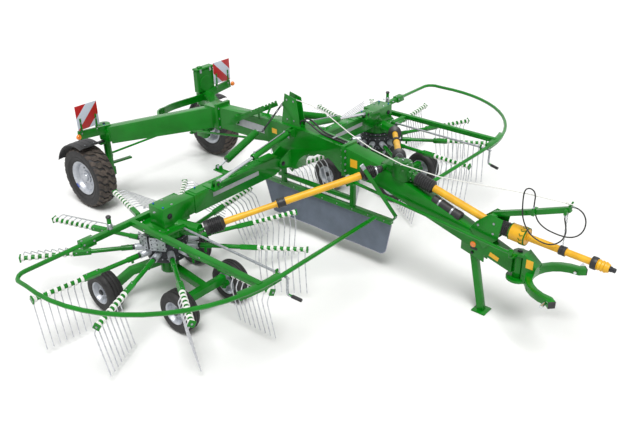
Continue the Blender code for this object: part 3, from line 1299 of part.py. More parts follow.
def make_bogies():
    """Undercarriage: pot under the core shaft, arched rear axle, spine and front axle."""
    r = SMALL_TYRE_RADIUS
    pot = bar(from_hub(0, 0, POT_LOW), from_hub(0, 0, POT_HIGH), POT_RADIUS, sides=16)
    rear = REAR_PAIR_X - SMALL_TYRE_WIDTH / 2 - BOGIE_WHEEL_GAP
    knee = rear * BOGIE_ARCH_SHARE
    knee_y = REAR_PAIR_Y - BOGIE_ARCH_AHEAD
    arch = sweep([from_hub(-rear, REAR_PAIR_Y, r), from_hub(-knee, knee_y, r + BOGIE_ARCH_RISE),
                  from_hub(0, BOGIE_TOP_Y, POT_LOW + BOGIE_TOP_Z),
                  from_hub(knee, knee_y, r + BOGIE_ARCH_RISE), from_hub(rear, REAR_PAIR_Y, r)],
                 BOGIE_TUBE, BOGIE_TUBE)
    cross_z = r + BOGIE_CROSS_RISE
    spine = sweep([from_hub(0, BOGIE_SPINE_Y, POT_LOW + BOGIE_SPINE_Z), from_hub(0, FRONT_PAIR_Y, cross_z)],
                  BOGIE_TUBE, BOGIE_TUBE)
    front = FRONT_PAIR_X - SMALL_TYRE_WIDTH / 2 - BOGIE_WHEEL_GAP
    cross = sweep([from_hub(-front, FRONT_PAIR_Y, cross_z), from_hub(front, FRONT_PAIR_Y, cross_z)],
                  BOGIE_TUBE, BOGIE_TUBE)
    pieces = [pot, arch, spine, cross]
    for sign in (-1, 1):
        pieces.append(block((BOGIE_HANGER_THICK, BOGIE_HANGER_LENGTH, BOGIE_HANGER_HEIGHT),
                            from_hub(sign * (front - BOGIE_HANGER_THICK / 2), FRONT_PAIR_Y, r + BOGIE_HANGER_RISE)))
        for x, y, inner in ((FRONT_PAIR_X, FRONT_PAIR_Y, front), (REAR_PAIR_X, REAR_PAIR_Y, rear)):
            start = inner - BOGIE_HANGER_THICK
            end = x + SMALL_TYRE_WIDTH * SMALL_AXLE_SHARE
            pieces.append(bar(from_hub(sign * start, y, r), from_hub(sign * end, y, r), SMALL_AXLE))
            pieces.append(bar(from_hub(sign * (start - BOGIE_SHOULDER_IN), y, r),
                              from_hub(sign * (x - SMALL_HUB_HALF - SEAT), y, r), SMALL_SHOULDER))
    pair("bogie", fuse(pieces), "green_paint")


def make_small_wheels():
    """Small wheels under each rotor: tyre and dished rim as one turned solid."""
    r = SMALL_TYRE_RADIUS
    w = SMALL_TYRE_WIDTH / 2
    half = [(SMALL_BORE, SMALL_HUB_HALF), (SMALL_HUB_RADIUS, SMALL_HUB_HALF)]
    half += [(r * radius, w * along) for radius, along in SMALL_PROFILE_SHARES]
    profile = [(radius, -along) for radius, along in half] + half[::-1] + [(SMALL_BORE, -SMALL_HUB_HALF)]
    # Columns: name, x and y from the rotor's axis.
    for name, x, y in (("wheel_rear_outer", REAR_PAIR_X, REAR_PAIR_Y),
                       ("wheel_front_outer", FRONT_PAIR_X, FRONT_PAIR_Y),
                       ("wheel_front_inner", -FRONT_PAIR_X, FRONT_PAIR_Y),
                       ("wheel_rear_inner", -REAR_PAIR_X, REAR_PAIR_Y)):
        middle = from_hub(x, y, r)
        wheel = turned(profile, middle, from_hub(x + r, y, r), sides=14)
        pair(name, wheel, "tyre_rubber", tuple(middle))


def make_crank():
    """Height crank along the guard's middle, with its foot on the head and its eye on the hoop."""
    z = GUARD_Z - CRANK_DROP
    back_y = HUB_Y - CRANK_BACK
    grip_z = z - CRANK_DROP - CRANK_ARM
    crank = pipe([out(HUB_X, back_y, z), out(HUB_X, CRANK_Y, z - CRANK_DROP), out(HUB_X, CRANK_Y, grip_z),
                  out(HUB_X - CRANK_GRIP_DROP, CRANK_Y - CRANK_GRIP, grip_z - CRANK_GRIP_DROP)], CRANK_RADIUS, sides=6)
    eye = block(CRANK_EYE, out(HUB_X, CRANK_EYE_Y, z - CRANK_DROP))
    tie = sweep([out(HUB_X, CRANK_EYE_Y, z - CRANK_TIE_DROP),
                 out(HUB_X, CRANK_EYE_Y - CRANK_TIE_AHEAD, GUARD_Z - CRANK_TIE)], CRANK_TIE, CRANK_TIE)
    foot = block(CRANK_FOOT, out(HUB_X, back_y, z + CRANK_FOOT_RISE))
    link = block(CRANK_LINK, out(HUB_X + CRANK_LINK[0] / 2, back_y, z + CRANK_LINK_RISE))
    return [crank, eye, tie, foot, link]


def make_guards():
    """Guard round the rotor: two square beams from the head, the bent hoop and the height crank."""
    z = GUARD_Z
    front_y = GUARD_ARC_Y - GUARD_ARC_RADIUS
    beam_one = sweep([out(HUB_X - GUARD_ROOT, GUARD_BEAM_Y, z), out(GUARD_JOINT_X, GUARD_BEAM_Y, z)],
                     GUARD_BEAM, GUARD_BEAM)
    beam_two = sweep([out(GUARD_BEAM_X, GUARD_BEAM_Y, z), out(GUARD_BEAM_X, front_y + SINK, z)],
                     GUARD_BEAM, GUARD_BEAM)
    corner_x = GUARD_ARC_X + GUARD_ARC_RADIUS - GUARD_CORNER
    start = [out(GUARD_JOINT_X - GUARD_OVERLAP, GUARD_BEAM_Y, z)]
    corner = [out(x, y, z) for x, y in arc(corner_x, GUARD_BEAM_Y - GUARD_CORNER, GUARD_CORNER, 90, 10, 4)]
    sweep_round = [out(x, y, z) for x, y in arc(GUARD_ARC_X, GUARD_ARC_Y, GUARD_ARC_RADIUS, 5, -90, 14)]
    hoop = pipe([*start, *corner, *sweep_round, out(GUARD_FREE_X, front_y, z)], GUARD_TUBE_RADIUS, sides=6)
    clamp = block(GUARD_CLAMP, out(GUARD_JOINT_X, GUARD_BEAM_Y, z))
    inside = GUARD_ARC_RADIUS - GUARD_CHANNEL_IN
    channel = sweep([out(x, y, z - GUARD_CHANNEL_DROP) for x, y in arc(GUARD_ARC_X, GUARD_ARC_Y, inside, -92, -74, 4)],
                    GUARD_CHANNEL_WIDTH, GUARD_CHANNEL_HEIGHT)
    peg = bar(out(GUARD_PEG_X, GUARD_BEAM_Y, z), out(GUARD_PEG_X, GUARD_BEAM_Y, z + GUARD_PEG_HEIGHT),
              GUARD_PEG_RADIUS)
    pair("guard", fuse([beam_one, beam_two, hoop, clamp, channel, peg, *make_crank()]), "green_paint")


def make_lifts():
    """Lift cylinder barrel on the tower and its rod, whose eye lies in the boom's bracket."""
    top = out(LIFT_TOP_X, LIFT_Y, LIFT_TOP_Z)
    eye = out(LIFT_EYE_X, LIFT_Y, LIFT_EYE_Z)
    along = (eye - top).normalized()
    side = Vector((0, LIFT_EYE_WIDTH / 2, 0))
    knuckle = bar(top - side, top + side, LIFT_EYE_RADIUS)
    neck = bar(top, top + along * LIFT_NECK, LIFT_NECK_RADIUS)
    barrel = bar(top + along * BARREL_START, top + along * BARREL_LENGTH, BARREL_RADIUS)
    bore = bar(top + along * BARREL_BOTTOM, top + along * (BARREL_LENGTH + CUT), LIFT_ROD_RADIUS + RUN)
    pair("lift_barrel", fuse([knuckle, neck, barrel], [bore]), "green_paint", tuple(top))
    rod = bar(top + along * (BARREL_BOTTOM + RUN + LIFT_STROKE), eye, LIFT_ROD_RADIUS)
    rod_eye = bar(eye - side, eye + side, LIFT_ROD_EYE_RADIUS)
    pair("lift_rod", fuse([rod, rod_eye]), "silver_steel", tuple(eye))


def make_springs():
    """Relief spring between the boom and the chain on the tower."""
    foot = out(SPRING_FOOT_X, SPRING_Y, SPRING_FOOT_Z)
    head = out(SPRING_HEAD_X, SPRING_Y, SPRING_HEAD_Z)
    along = (head - foot).normalized()
    side = Vector((0, SPRING_EYE_WIDTH / 2, 0))
    eye = bar(foot - side, foot + side, SPRING_EYE_RADIUS)
    shank = bar(foot, foot + along * SPRING_SHANK, SPRING_SHANK_RADIUS)
    coil = bar(foot + along * SPRING_COIL_START, head - along * SPRING_COIL_SHORT, SPRING_RADIUS)
    tip = bar(head - along * SPRING_TIP, head, SPRING_TIP_RADIUS)
    pin = bar(head, head - Vector((0, SPRING_PIN, 0)), SPRING_PIN_RADIUS)
    pair("spring", fuse([eye, shank, coil, tip, pin]), "green_paint", tuple(foot))
    start = out(CHAIN_X, CHAIN_Y, CHAIN_Z)
    reach = Vector((head.x, head.y - SPRING_PIN - SEAT - CHAIN_LINK_RADIUS, head.z)) - start
    end = start + reach
    links = []
    for i in range(CHAIN_LINKS):
        first = start + (end - start) * (i / CHAIN_LINKS)
        last = start + (end - start) * ((i + 1 + CHAIN_OVERLAP_SHARE) / CHAIN_LINKS)
        if i == CHAIN_LINKS - 1:
            last = end
        links.append(bar(first, last, CHAIN_LINK_RADIUS * (CHAIN_THIN_SHARE if i % 2 else 1), sides=6))
    pair("chain", fuse(links), "silver_steel", tuple(start))


def make_gearbox():
    """Centre gearbox on the beam, with its two side stubs and its front nose."""
    middle = Vector((0, GEARBOX_Y, GEARBOX_Z))
    case = bar(middle - Vector((0, 0, GEARBOX_BELOW)), middle + Vector((0, 0, GEARBOX_ABOVE)),
               GEARBOX_RADIUS, GEARBOX_TOP_RADIUS, sides=16)
    stubs = [bar((side * STUB_START, JOINT_Y, JOINT_Z), (side * (JOINT_X - BALL_RADIUS - SEAT), JOINT_Y, JOINT_Z),
                 STUB_RADIUS) for side in (-1, 1)]
    saddle = block(GEARBOX_SADDLE, (0, (GEARBOX_Y + JOINT_Y) / 2, JOINT_Z - GEARBOX_SADDLE_DROP))
    ahead = (Vector(FRONT_BEARING) - middle).normalized()
    front = bar(middle, middle + ahead * GEARBOX_NOSE, GEARBOX_NOSE_RADIUS)
    node("gearbox", fuse([case, *stubs, saddle, front], [above_beam()]), "green_paint")


def cap(radius, degrees):
    """Rows of a round cap about the joint, radius and distance, with its last row on the axis."""
    rows = [(radius * math.sin(math.radians(a)), radius * math.cos(math.radians(a))) for a in degrees[:-1]]
    return [*rows, (0, radius)]


def make_side_shafts():
    """Right and left drive shafts: jointed bellows, guard tube, collar and inner tube."""
    joint = out(JOINT_X, JOINT_Y, JOINT_Z)
    end = out(HEAD_INPUT_X, HEAD_INPUT_Y, HEAD_INPUT_Z)
    length = (end - joint).length
    ball = [(radius, -along) for radius, along in cap(BALL_RADIUS, (90, 65, 40, 20, 0))[::-1]]
    folds = []
    for i in range(BOOT_FOLDS):
        fold = BOOT_FOLD_START + BOOT_FOLD * i
        folds += [(BOOT_RADIUS, fold), (BOOT_RADIUS - BOOT_FOLD_DEPTH, fold + BOOT_FOLD_MIDDLE)]
    profile = [*ball, (BALL_RADIUS, BALL_NECK), *folds, *cap(JOINT_REACH, (14, 9, 4, 0))]
    pair("shaft_joint", turned(profile[::-1], joint, end), "black_rubber", tuple(joint))

    gap = JOINT_REACH + JOINT_GAP
    outer = GUARD_PIPE_RADIUS
    bore = outer - GUARD_PIPE_WALL
    cup = cap(gap, (10, 5, 0))[::-1]
    tube_profile = [*cup, (outer, cup[-1][1] + CUP_LIP), (outer, SHAFT_TUBE_END), (bore, SHAFT_TUBE_END),
                    (bore, gap + CUP_DEPTH), (0, gap + CUP_DEPTH)]
    pair("shaft_tube", turned(tube_profile[::-1], joint, end), "yellow_guard", tuple(joint))

    fit = outer + 2 * SEAT
    last = SHAFT_TUBE_END - COLLAR_END
    first = last - COLLAR_LENGTH
    ring = [(fit, first), (fit + COLLAR_THICK, first), (fit + COLLAR_THICK, last), (fit, last), (fit, first)]
    pair("shaft_collar", turned(ring[::-1], joint, end), "black_rubber", tuple(joint))

    inner = bore - 2 * SEAT
    step = SHAFT_TUBE_END + SHAFT_FOLD_STROKE + SHAFT_STEP
    boot = length - SLIDE_BOOT_LENGTH
    thick = outer - SHAFT_STEP_DEPTH
    wide = SLIDE_BOOT_RADIUS
    inner_profile = [(0, SHAFT_INNER_START), (inner, SHAFT_INNER_START), (inner, step),
                     (thick, step + SHAFT_STEP), (thick, boot), (wide, boot + SLIDE_BOOT_CONE)]
    for i in range(SLIDE_FOLDS):
        fold = boot + SLIDE_FOLD_START + SLIDE_FOLD * i
        inner_profile += [(wide, fold), (wide - SLIDE_FOLD_DEPTH, fold + SLIDE_FOLD_MIDDLE)]
    inner_profile += [(wide, length), (wide - SLIDE_MOUTH, length), (wide - SLIDE_MOUTH_IN, boot + SLIDE_FOLD_START),
                      (0, boot + SLIDE_MOUTH_FLOOR)]
    pair("shaft_slide", turned(inner_profile[::-1], joint, end), "yellow_guard", tuple(joint))


def make_front_shafts():
    """Shaft from gearbox to the bearing bracket, and the tractor shaft ahead of it."""
    bearing = Vector(FRONT_BEARING)
    middle = Vector((0, GEARBOX_Y, GEARBOX_Z))
    along = (bearing - middle).normalized()
    start = middle + along * (GEARBOX_NOSE + SEAT)
    pieces = [bar(start, start + along * FRONT_BELLOWS, FRONT_BELLOWS_RADIUS),
              bar(start + along * (FRONT_BELLOWS - FRONT_BELLOWS_OVERLAP), bearing, GUARD_PIPE_RADIUS)]
    reach = (Vector(TRACTOR_END) - bearing).normalized()
    for first, last, radius, end_radius in TRACTOR_ROWS:
        pieces.append(bar(bearing + reach * first, bearing + reach * last, radius, end_radius))
    node("front_shaft", fuse(pieces), "yellow_guard")


def make_bracket():
    """Plates on the beam that carry the shaft bearing, and the arm that holds the hoses."""
    x = beam_size(BRACKET_OUTLINE[0][0], 3) / 2 + SEAT + BRACKET_PLATE / 2
    plates = [plate(BRACKET_OUTLINE, BRACKET_PLATE, (side * x, 0, 0), (0, 1, 0), (0, 0, 1)) for side in (-1, 1)]
    bridge = block((2 * x, BRIDGE_LENGTH, BRIDGE_THICK), (0, BRIDGE_Y, BRIDGE_Z))
    seat = block((2 * x, BEARING_SEAT_LENGTH, BEARING_SEAT_HEIGHT), (0, BEARING_SEAT_Y, BEARING_SEAT_Z))
    seat = fuse([seat], [above_beam()])
    arm = sweep(HOSE_ARM, ARM_TUBE, ARM_TUBE)
    hook = bar(*ARM_HOOK, ARM_HOOK_RADIUS)
    clamps = []
    for side, y, low, high in HOSE_CLAMPS:
        size = (HOSE_CLAMP_OUTER - HOSE_CLAMP_INNER, HOSE_CLAMP_LENGTH, high - low)
        clamps.append(block(size, (side * (HOSE_CLAMP_OUTER + HOSE_CLAMP_INNER) / 2, y, (low + high) / 2)))
    node("shaft_bracket", fuse([*plates, bridge, seat, arm, hook, *clamps]), "green_paint")


def smooth(points, steps):
    """Points along a curve that passes through all the given ones."""
    points = [Vector(point) for point in points]
    made = []
    for i, (one, two) in enumerate(zip(points, points[1:])):
        before = points[i - 1] if i else one * 2 - two
        after = points[i + 2] if i + 2 < len(points) else two * 2 - one
        for k in range(steps):
            t = k / steps
            made.append((2 * one + (two - before) * t + (2 * before - 5 * one + 4 * two - after) * t ** 2
                         + (3 * one - before - 3 * two + after) * t ** 3) / 2)
    return [*made, points[-1]]


def make_cords():
    """Two hydraulic hoses looped at the arm, and the pull rope along the machine."""
    for name, side, route in (("hose_one", -1, HOSE_ONE), ("hose_two", 1, HOSE_TWO)):
        points = smooth([(side * HOSE_X, y, z) for y, z in route], HOSE_STEPS)
        node(name, pipe(points, HOSE_RADIUS), "black_rubber")
    node("pull_rope", pipe(ROPE, ROPE_RADIUS, sides=6), "silver_steel")


def make_curtain():
    """Swath curtain on its rail, hung from two posts under the main beam."""
    length = CURTAIN_REAR - CURTAIN_FRONT
    middle_y = (CURTAIN_REAR + CURTAIN_FRONT) / 2
    rail = block((CURTAIN_RAIL, length, CURTAIN_RAIL), (0, middle_y, CURTAIN_TOP + CURTAIN_RAIL / 2 + SEAT))
    upper = block((HANGER_BAR, HANGER_LENGTH, HANGER_BAR), (0, HANGER_Y, HANGER_Z))
    front_post = block((HANGER_BAR, HANGER_POST, HANGER_FRONT_LENGTH),
                       (0, HANGER_FRONT_Y, HANGER_FOOT + HANGER_FRONT_LENGTH / 2))
    front_post = fuse([front_post], [below_beam()])
    rear_top = FORK_LOW - SEAT
    rear_post = block((HANGER_BAR, HANGER_POST, rear_top - HANGER_FOOT),
                      (0, HANGER_REAR_Y, (rear_top + HANGER_FOOT) / 2))
    node("curtain_frame", fuse([rail, upper, front_post, rear_post]), "green_paint")
    corner_y = CURTAIN_FRONT + CURTAIN_SLANT_FRONT + CURTAIN_CORNER
    outline = [(CURTAIN_REAR, CURTAIN_TOP), (CURTAIN_FRONT, CURTAIN_TOP),
               *arc(corner_y, CURTAIN_LOW + CURTAIN_CORNER, CURTAIN_CORNER, 180, 270, 4),
               (CURTAIN_REAR - CURTAIN_SLANT_REAR, CURTAIN_LOW)]
    cloth = plate(outline, CURTAIN_THICK, (0, 0, 0), (0, 1, 0), (0, 0, 1))
    node("curtain", cloth, "curtain_cloth")


def make_fenders():
    """Curved mudguards behind and above the rear tyres."""
    z = REAR_TYRE_RADIUS
    inside = FENDER_RADIUS - FENDER_THICK
    outline = arc(REAR_AXLE_Y, z, FENDER_RADIUS, FENDER_START, FENDER_END, 8)
    outline += arc(REAR_AXLE_Y, z, inside, FENDER_END, FENDER_START, 8)
    skin = plate(outline, FENDER_WIDTH, out(REAR_WHEEL_X + FENDER_SHIFT, 0, 0), (0, 1, 0), (0, 0, 1))
    start = KINGPIN_X + KINGPIN_RADIUS + RUN / 2
    end = REAR_WHEEL_X - REAR_TYRE_WIDTH / 2 + FENDER_OVERLAP
    strap = block((end - start, FENDER_STRAP_WIDTH, FENDER_STRAP),
                  out((start + end) / 2, KINGPIN_Y, FENDER_SEAT_Z + SEAT + FENDER_STRAP / 2))
    pair("mudguard", fuse([skin, strap]), "black_rubber", tuple(out(KINGPIN_X, KINGPIN_Y, z)))


make_front_beam()
make_headstock()
make_stand()
make_centre_frame()
make_rear_frame()
make_knuckles()
make_rear_wheels()
make_steering()
make_boards()
make_booms()
make_heads()
make_rotors()
make_bogies()
make_small_wheels()
make_guards()
make_lifts()
make_springs()
make_gearbox()
make_side_shafts()
make_front_shafts()
make_bracket()
make_curtain()
make_fenders()
make_cords()
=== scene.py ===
# %% [markdown]
# # Twin rotor hay rake
#
# A towed rake with two tined rotors that hang from folding booms on a long centre frame. The solids from
# the part's source give the places, the sizes and the bodies that move. This script dresses them: it
# rounds the welded frame, builds the round and flexible parts again in full detail, and gives each surface
# its finish.
#
# Metres. +Z is up, -Y is the front with the hitch, the right side is at -X.

# %% Frame
import math

import bmesh
import bpy
from mathutils import Matrix, Vector


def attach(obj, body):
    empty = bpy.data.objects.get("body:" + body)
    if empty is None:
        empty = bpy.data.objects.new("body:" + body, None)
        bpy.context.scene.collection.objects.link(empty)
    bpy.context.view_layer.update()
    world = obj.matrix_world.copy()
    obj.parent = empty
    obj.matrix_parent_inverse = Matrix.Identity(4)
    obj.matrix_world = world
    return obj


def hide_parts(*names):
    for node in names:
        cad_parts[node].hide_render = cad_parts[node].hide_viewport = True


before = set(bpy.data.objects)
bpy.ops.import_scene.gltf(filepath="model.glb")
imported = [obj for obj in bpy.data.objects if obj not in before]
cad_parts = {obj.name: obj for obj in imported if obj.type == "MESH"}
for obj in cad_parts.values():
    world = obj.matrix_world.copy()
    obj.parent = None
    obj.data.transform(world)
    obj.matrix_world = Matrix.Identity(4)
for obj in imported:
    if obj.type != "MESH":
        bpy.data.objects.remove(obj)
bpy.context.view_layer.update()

print("solids in the frame:", len(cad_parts))

# %% [markdown]
# ## Camera
#
# The machine was photographed from above its front right corner. A camera can be placed by eye or solved.
# This one was solved from the boards, the wheels and the straight edges of the frame, because then every
# size that was read from the photograph also holds in the render.

# %% Camera
# Image width and focal length in pixels, sensor in millimetres, angles in degrees.
IMAGE_WIDTH = 636
FOCAL_PIXELS = 749.68
SENSOR = 36.0
CAMERA_SPOT = Vector((-5.3616, -4.6706, 4.1671))
CAMERA_YAW = 49.0455
CAMERA_PITCH = 28.175
CAMERA_ROLL = -1.0352


def make_camera():
    """Camera at the photograph's viewpoint, with its small roll."""
    yaw, pitch, roll = (math.radians(a) for a in (CAMERA_YAW, CAMERA_PITCH, CAMERA_ROLL))
    ahead = Vector((math.sin(yaw) * math.cos(pitch), math.cos(yaw) * math.cos(pitch), -math.sin(pitch)))
    level = Vector((math.cos(yaw), -math.sin(yaw), 0))
    above = level.cross(ahead)
    right = math.cos(roll) * level + math.sin(roll) * above
    up = -math.sin(roll) * level + math.cos(roll) * above
    data = bpy.data.cameras.new("camera")
    data.sensor_width = SENSOR
    data.lens = FOCAL_PIXELS * SENSOR / IMAGE_WIDTH
    camera = bpy.data.objects.new("camera", data)
    camera.matrix_world = Matrix.Translation(CAMERA_SPOT) @ Matrix((right, up, -ahead)).transposed().to_4x4()
    bpy.context.scene.collection.objects.link(camera)
    bpy.context.scene.camera = camera


make_camera()
print("lens in millimetres:", round(bpy.context.scene.camera.data.lens, 1))

# %% [markdown]
# ## Colours and nodes
#
# A paint chart gives colours as hex codes, which are stored for the screen, while a shader adds up light
# in linear values. One function turns the first into the second. Another adds a shader node with its
# settings and links in one line, so that a finish reads as a short list of nodes.

# %% Colours and nodes
def colour(code):
    """An sRGB hex colour as the linear values that a shader takes."""
    channels = [int(code[i:i + 2], 16) / 255 for i in (1, 3, 5)]
    return (*(c / 12.92 if c <= 0.04045 else ((c + 0.055) / 1.055) ** 2.4 for c in channels), 1.0)


def add(tree, kind, inputs=None, **settings):
    """One shader node with its settings. Inputs are values, or sockets to link from."""
    made = tree.nodes.new(kind)
    for name, value in settings.items():
        setattr(made, name, value)
    for name, value in (inputs or {}).items():
        if isinstance(value, bpy.types.NodeSocket):
            tree.links.new(value, made.inputs[name])
        else:
            made.inputs[name].default_value = value
    return made


print("half grey on the screen is this much light:", round(colour("#808080")[0], 3))

# %% [markdown]
# ## One finish
#
# Real surfaces are never one flat colour: paint dries in clouds, dust settles, and a fine grain breaks the
# shine. A painted image could hold all that, but it would have to be wrapped round hundreds of bent parts.
# Noise in the object's own space needs no wrapping, and its scale is a real length. The IOR stays at its
# default, close to the usual 1.5 of enamel, plastic and rubber.

# %% One finish
CLOUD_LOW = 0.35
CLOUD_HIGH = 0.65
ROUGHNESS_SPREAD = 0.2
RELIEF_STRENGTH = 0.5
COAT_ROUGHNESS = 0.12


def two_tones(tree, factor, low, high, first, second):
    """A colour ramp from one tone to another between two values of a factor."""
    ramp = add(tree, "ShaderNodeValToRGB", {"Fac": factor})
    for stop, spot, tone in zip(ramp.color_ramp.elements, (low, high), (first, second)):
        stop.position = spot
        stop.color = colour(tone)
    return ramp.outputs["Color"]


def surface(name, tone, other, patch, grain, depth, roughness, metallic=0.0, coat=0.0):
    """A finish with cloudy patches between two tones and a fine grain in its roughness and its relief."""
    material = bpy.data.materials.new(name)
    material.use_nodes = True
    tree = material.node_tree
    shader = tree.nodes["Principled BSDF"]
    place = add(tree, "ShaderNodeTexCoord").outputs["Object"]
    clouds = add(tree, "ShaderNodeTexNoise", {"Vector": place, "Scale": 1 / patch, "Detail": 4.0})
    grains = add(tree, "ShaderNodeTexNoise", {"Vector": place, "Scale": 1 / grain, "Detail": 2.0})
    fine = grains.outputs["Fac"]
    patches = two_tones(tree, clouds.outputs["Fac"], CLOUD_LOW, CLOUD_HIGH, tone, other)
    tree.links.new(patches, shader.inputs["Base Color"])
    spread = add(tree, "ShaderNodeMapRange", {"Value": fine, "To Min": roughness * (1 - ROUGHNESS_SPREAD),
                                              "To Max": roughness * (1 + ROUGHNESS_SPREAD)})
    tree.links.new(spread.outputs["Result"], shader.inputs["Roughness"])
    relief = add(tree, "ShaderNodeBump", {"Height": fine, "Distance": depth, "Strength": RELIEF_STRENGTH})
    tree.links.new(relief.outputs["Normal"], shader.inputs["Normal"])
    shader.inputs["Metallic"].default_value = metallic
    shader.inputs["Coat Weight"].default_value = coat
    shader.inputs["Coat Roughness"].default_value = COAT_ROUGHNESS
    return material

# %% [markdown]
# ## Plain finishes
#
# The rake is mostly enamelled steel, with zinc on what is bolted to it, rubber on the ground and plastic
# over the drive shafts. Each finish is named for its material and for the process that made its surface,
# since the process decides how it shines. They differ only in numbers, so one table holds them all.

# %% Plain finishes
MILLIMETRE = 0.001
# Columns: two tones, then patch, grain and relief in millimetres, roughness, metallic and clear coat.
# The real grain is mostly finer than a tenth of a millimetre. It is drawn as coarse as it needs to show.
FINISHES = {
    # Sprayed and stoved enamel on welded steel: an even, deep gloss with faint waves.
    "green_enamel_sprayed": ("#046C0B", "#057C14", 260, 2.5, 0.02, 0.24, 0.0, 0.15),
    # The same enamel on sand castings: duller and darker, since the pores hold shade and dust.
    "green_enamel_on_casting": ("#035409", "#066810", 60, 1.2, 0.08, 0.36, 0.0, 0.1),
    # Hot-dip zinc on pressed steel: a light grey metal with a mottled shine.
    "steel_galvanised": ("#B4B8BC", "#8F9499", 18, 1.5, 0.03, 0.38, 0.85, 0.0),
    # Oil-tempered spring wire, rubbed bright by the crop: pale, with long soft highlights.
    "spring_wire_polished": ("#D6D7DB", "#B9BBC1", 30, 1.0, 0.02, 0.38, 0.55, 0.0),
    # Epoxy powder on the coils of the tines: off-white with an even half gloss.
    "coil_powder_coated": ("#F1F2EE", "#DEDFDA", 20, 1.0, 0.03, 0.45, 0.0, 0.0),
    # Ground and hard-chromed rod: a mirror with hardly any grain.
    "chrome_ground": ("#D9DDE0", "#CDD2D6", 40, 0.8, 0.005, 0.12, 1.0, 0.0),
    # Vulcanised tread with field dust: brown and dull, without highlights.
    "tyre_rubber_dusty": ("#332D2A", "#544A43", 45, 2.0, 0.15, 0.85, 0.0, 0.0),
    # Vulcanised sidewall, moulded smoother: darker, with a wide soft sheen.
    "tyre_rubber_sidewall": ("#161516", "#232122", 60, 1.5, 0.06, 0.62, 0.0, 0.0),
    # Paint with aluminium flakes on a spun rim: half metal, with a soft bright band.
    "rim_paint_silver": ("#BFC2C8", "#AEB2B9", 50, 1.2, 0.03, 0.36, 0.55, 0.1),
    # Extruded polyethylene guard tube: a full colour with a waxy half gloss.
    "guard_plastic_yellow": ("#E6B01C", "#D8A012", 90, 1.5, 0.03, 0.42, 0.0, 0.0),
    # Blow-moulded bellows: black, with a thin highlight on every fold.
    "bellows_plastic_black": ("#161617", "#222224", 30, 1.2, 0.05, 0.45, 0.0, 0.0),
    # Greasy phosphated steel: nearly black, with a dull metal sheen.
    "steel_phosphated": ("#25272A", "#3A3C40", 25, 1.0, 0.05, 0.45, 0.6, 0.0),
    # Injection-moulded mudguard with a matt skin: black that turns grey where light falls on it.
    "mudguard_plastic": ("#1B1B1D", "#27272A", 80, 1.0, 0.06, 0.55, 0.0, 0.0),
    # Printed film, left blank: thin, flat and smoother than the enamel round it.
    "film_blank_yellow": ("#F3B81B", "#ECAF12", 40, 0.8, 0.01, 0.35, 0.0, 0.0),
    "film_blank_grey": ("#A9ADB0", "#9DA1A5", 40, 0.8, 0.01, 0.35, 0.0, 0.0),
    # Moulded caps on grease nipples, and a small label on the rim: small spots of full blue.
    "cap_plastic_blue": ("#2454C9", "#1D49B4", 20, 0.8, 0.02, 0.40, 0.0, 0.0),
    # Clear-coated acrylic lens: the glossiest spot on the machine.
    "lens_acrylic_orange": ("#E87208", "#F08518", 12, 1.0, 0.03, 0.15, 0.0, 0.8),
    # Extruded rubber cover of a hydraulic hose: smooth black with a thin highlight.
    "hose_rubber": ("#121213", "#1E1E20", 25, 1.0, 0.04, 0.50, 0.0, 0.0),
    # Braided polyester rope: matt white, with the coarse grain of its braid.
    "rope_braided_white": ("#EDEDE8", "#D6D6CF", 6, 1.5, 0.25, 0.80, 0.0, 0.0),
    # Woven binding stitched round the cloth: matt, and lighter than the cloth.
    "binding_woven_grey": ("#B9B6C4", "#A5A2B2", 12, 1.0, 0.05, 0.75, 0.0, 0.0),
}


def make_finishes():
    """All plain finishes from their table."""
    made = {}
    for name, (tone, other, patch, grain, depth, roughness, metallic, coat) in FINISHES.items():
        made[name] = surface(name, tone, other, patch * MILLIMETRE, grain * MILLIMETRE, depth * MILLIMETRE,
                             roughness, metallic, coat)
    return made


LOOK = make_finishes()
GREEN = LOOK["green_enamel_sprayed"]
CAST = LOOK["green_enamel_on_casting"]
ZINC = LOOK["steel_galvanised"]
BLACK = LOOK["bellows_plastic_black"]
PHOSPHATE = LOOK["steel_phosphated"]
YELLOW = LOOK["guard_plastic_yellow"]
CHROME = LOOK["chrome_ground"]
SILVER = LOOK["rim_paint_silver"]
SIDEWALL = LOOK["tyre_rubber_sidewall"]
FILM_YELLOW = LOOK["film_blank_yellow"]
FILM_GREY = LOOK["film_blank_grey"]
CAP_BLUE = LOOK["cap_plastic_blue"]
LENS = LOOK["lens_acrylic_orange"]

# Enamel mirrors less of the white surroundings than bare plastic or steel does.
ENAMEL_SPECULAR = 0.25
for enamel in (GREEN, CAST):
    enamel.node_tree.nodes["Principled BSDF"].inputs["Specular IOR Level"].default_value = ENAMEL_SPECULAR
print("plain finishes:", len(LOOK))

# %% [markdown]
# ## Striped film
#
# The warning boards carry reflective film with red and white bands at 45 degrees. An image could show the
# bands, but one sum gives them: the way from the board's outer top corner, inward plus downward, counted
# in pairs of bands. The cells that throw the light back are 4 mm wide and leave a faint honeycomb in both
# colours.

# %% Striped film
BOARD_SIDE = 0.282
BOARD_BANDS = 4
BOARD_X = 1.03
BOARD_Y = 2.49
BOARD_LOW = 1.045
FILM_CELL = 4 * MILLIMETRE
# A mix node has one set of sockets for each kind of value. These are the places of its colour sockets.
MIX_FIRST_COLOUR = 6
MIX_SECOND_COLOUR = 7
MIX_RESULT_COLOUR = 2


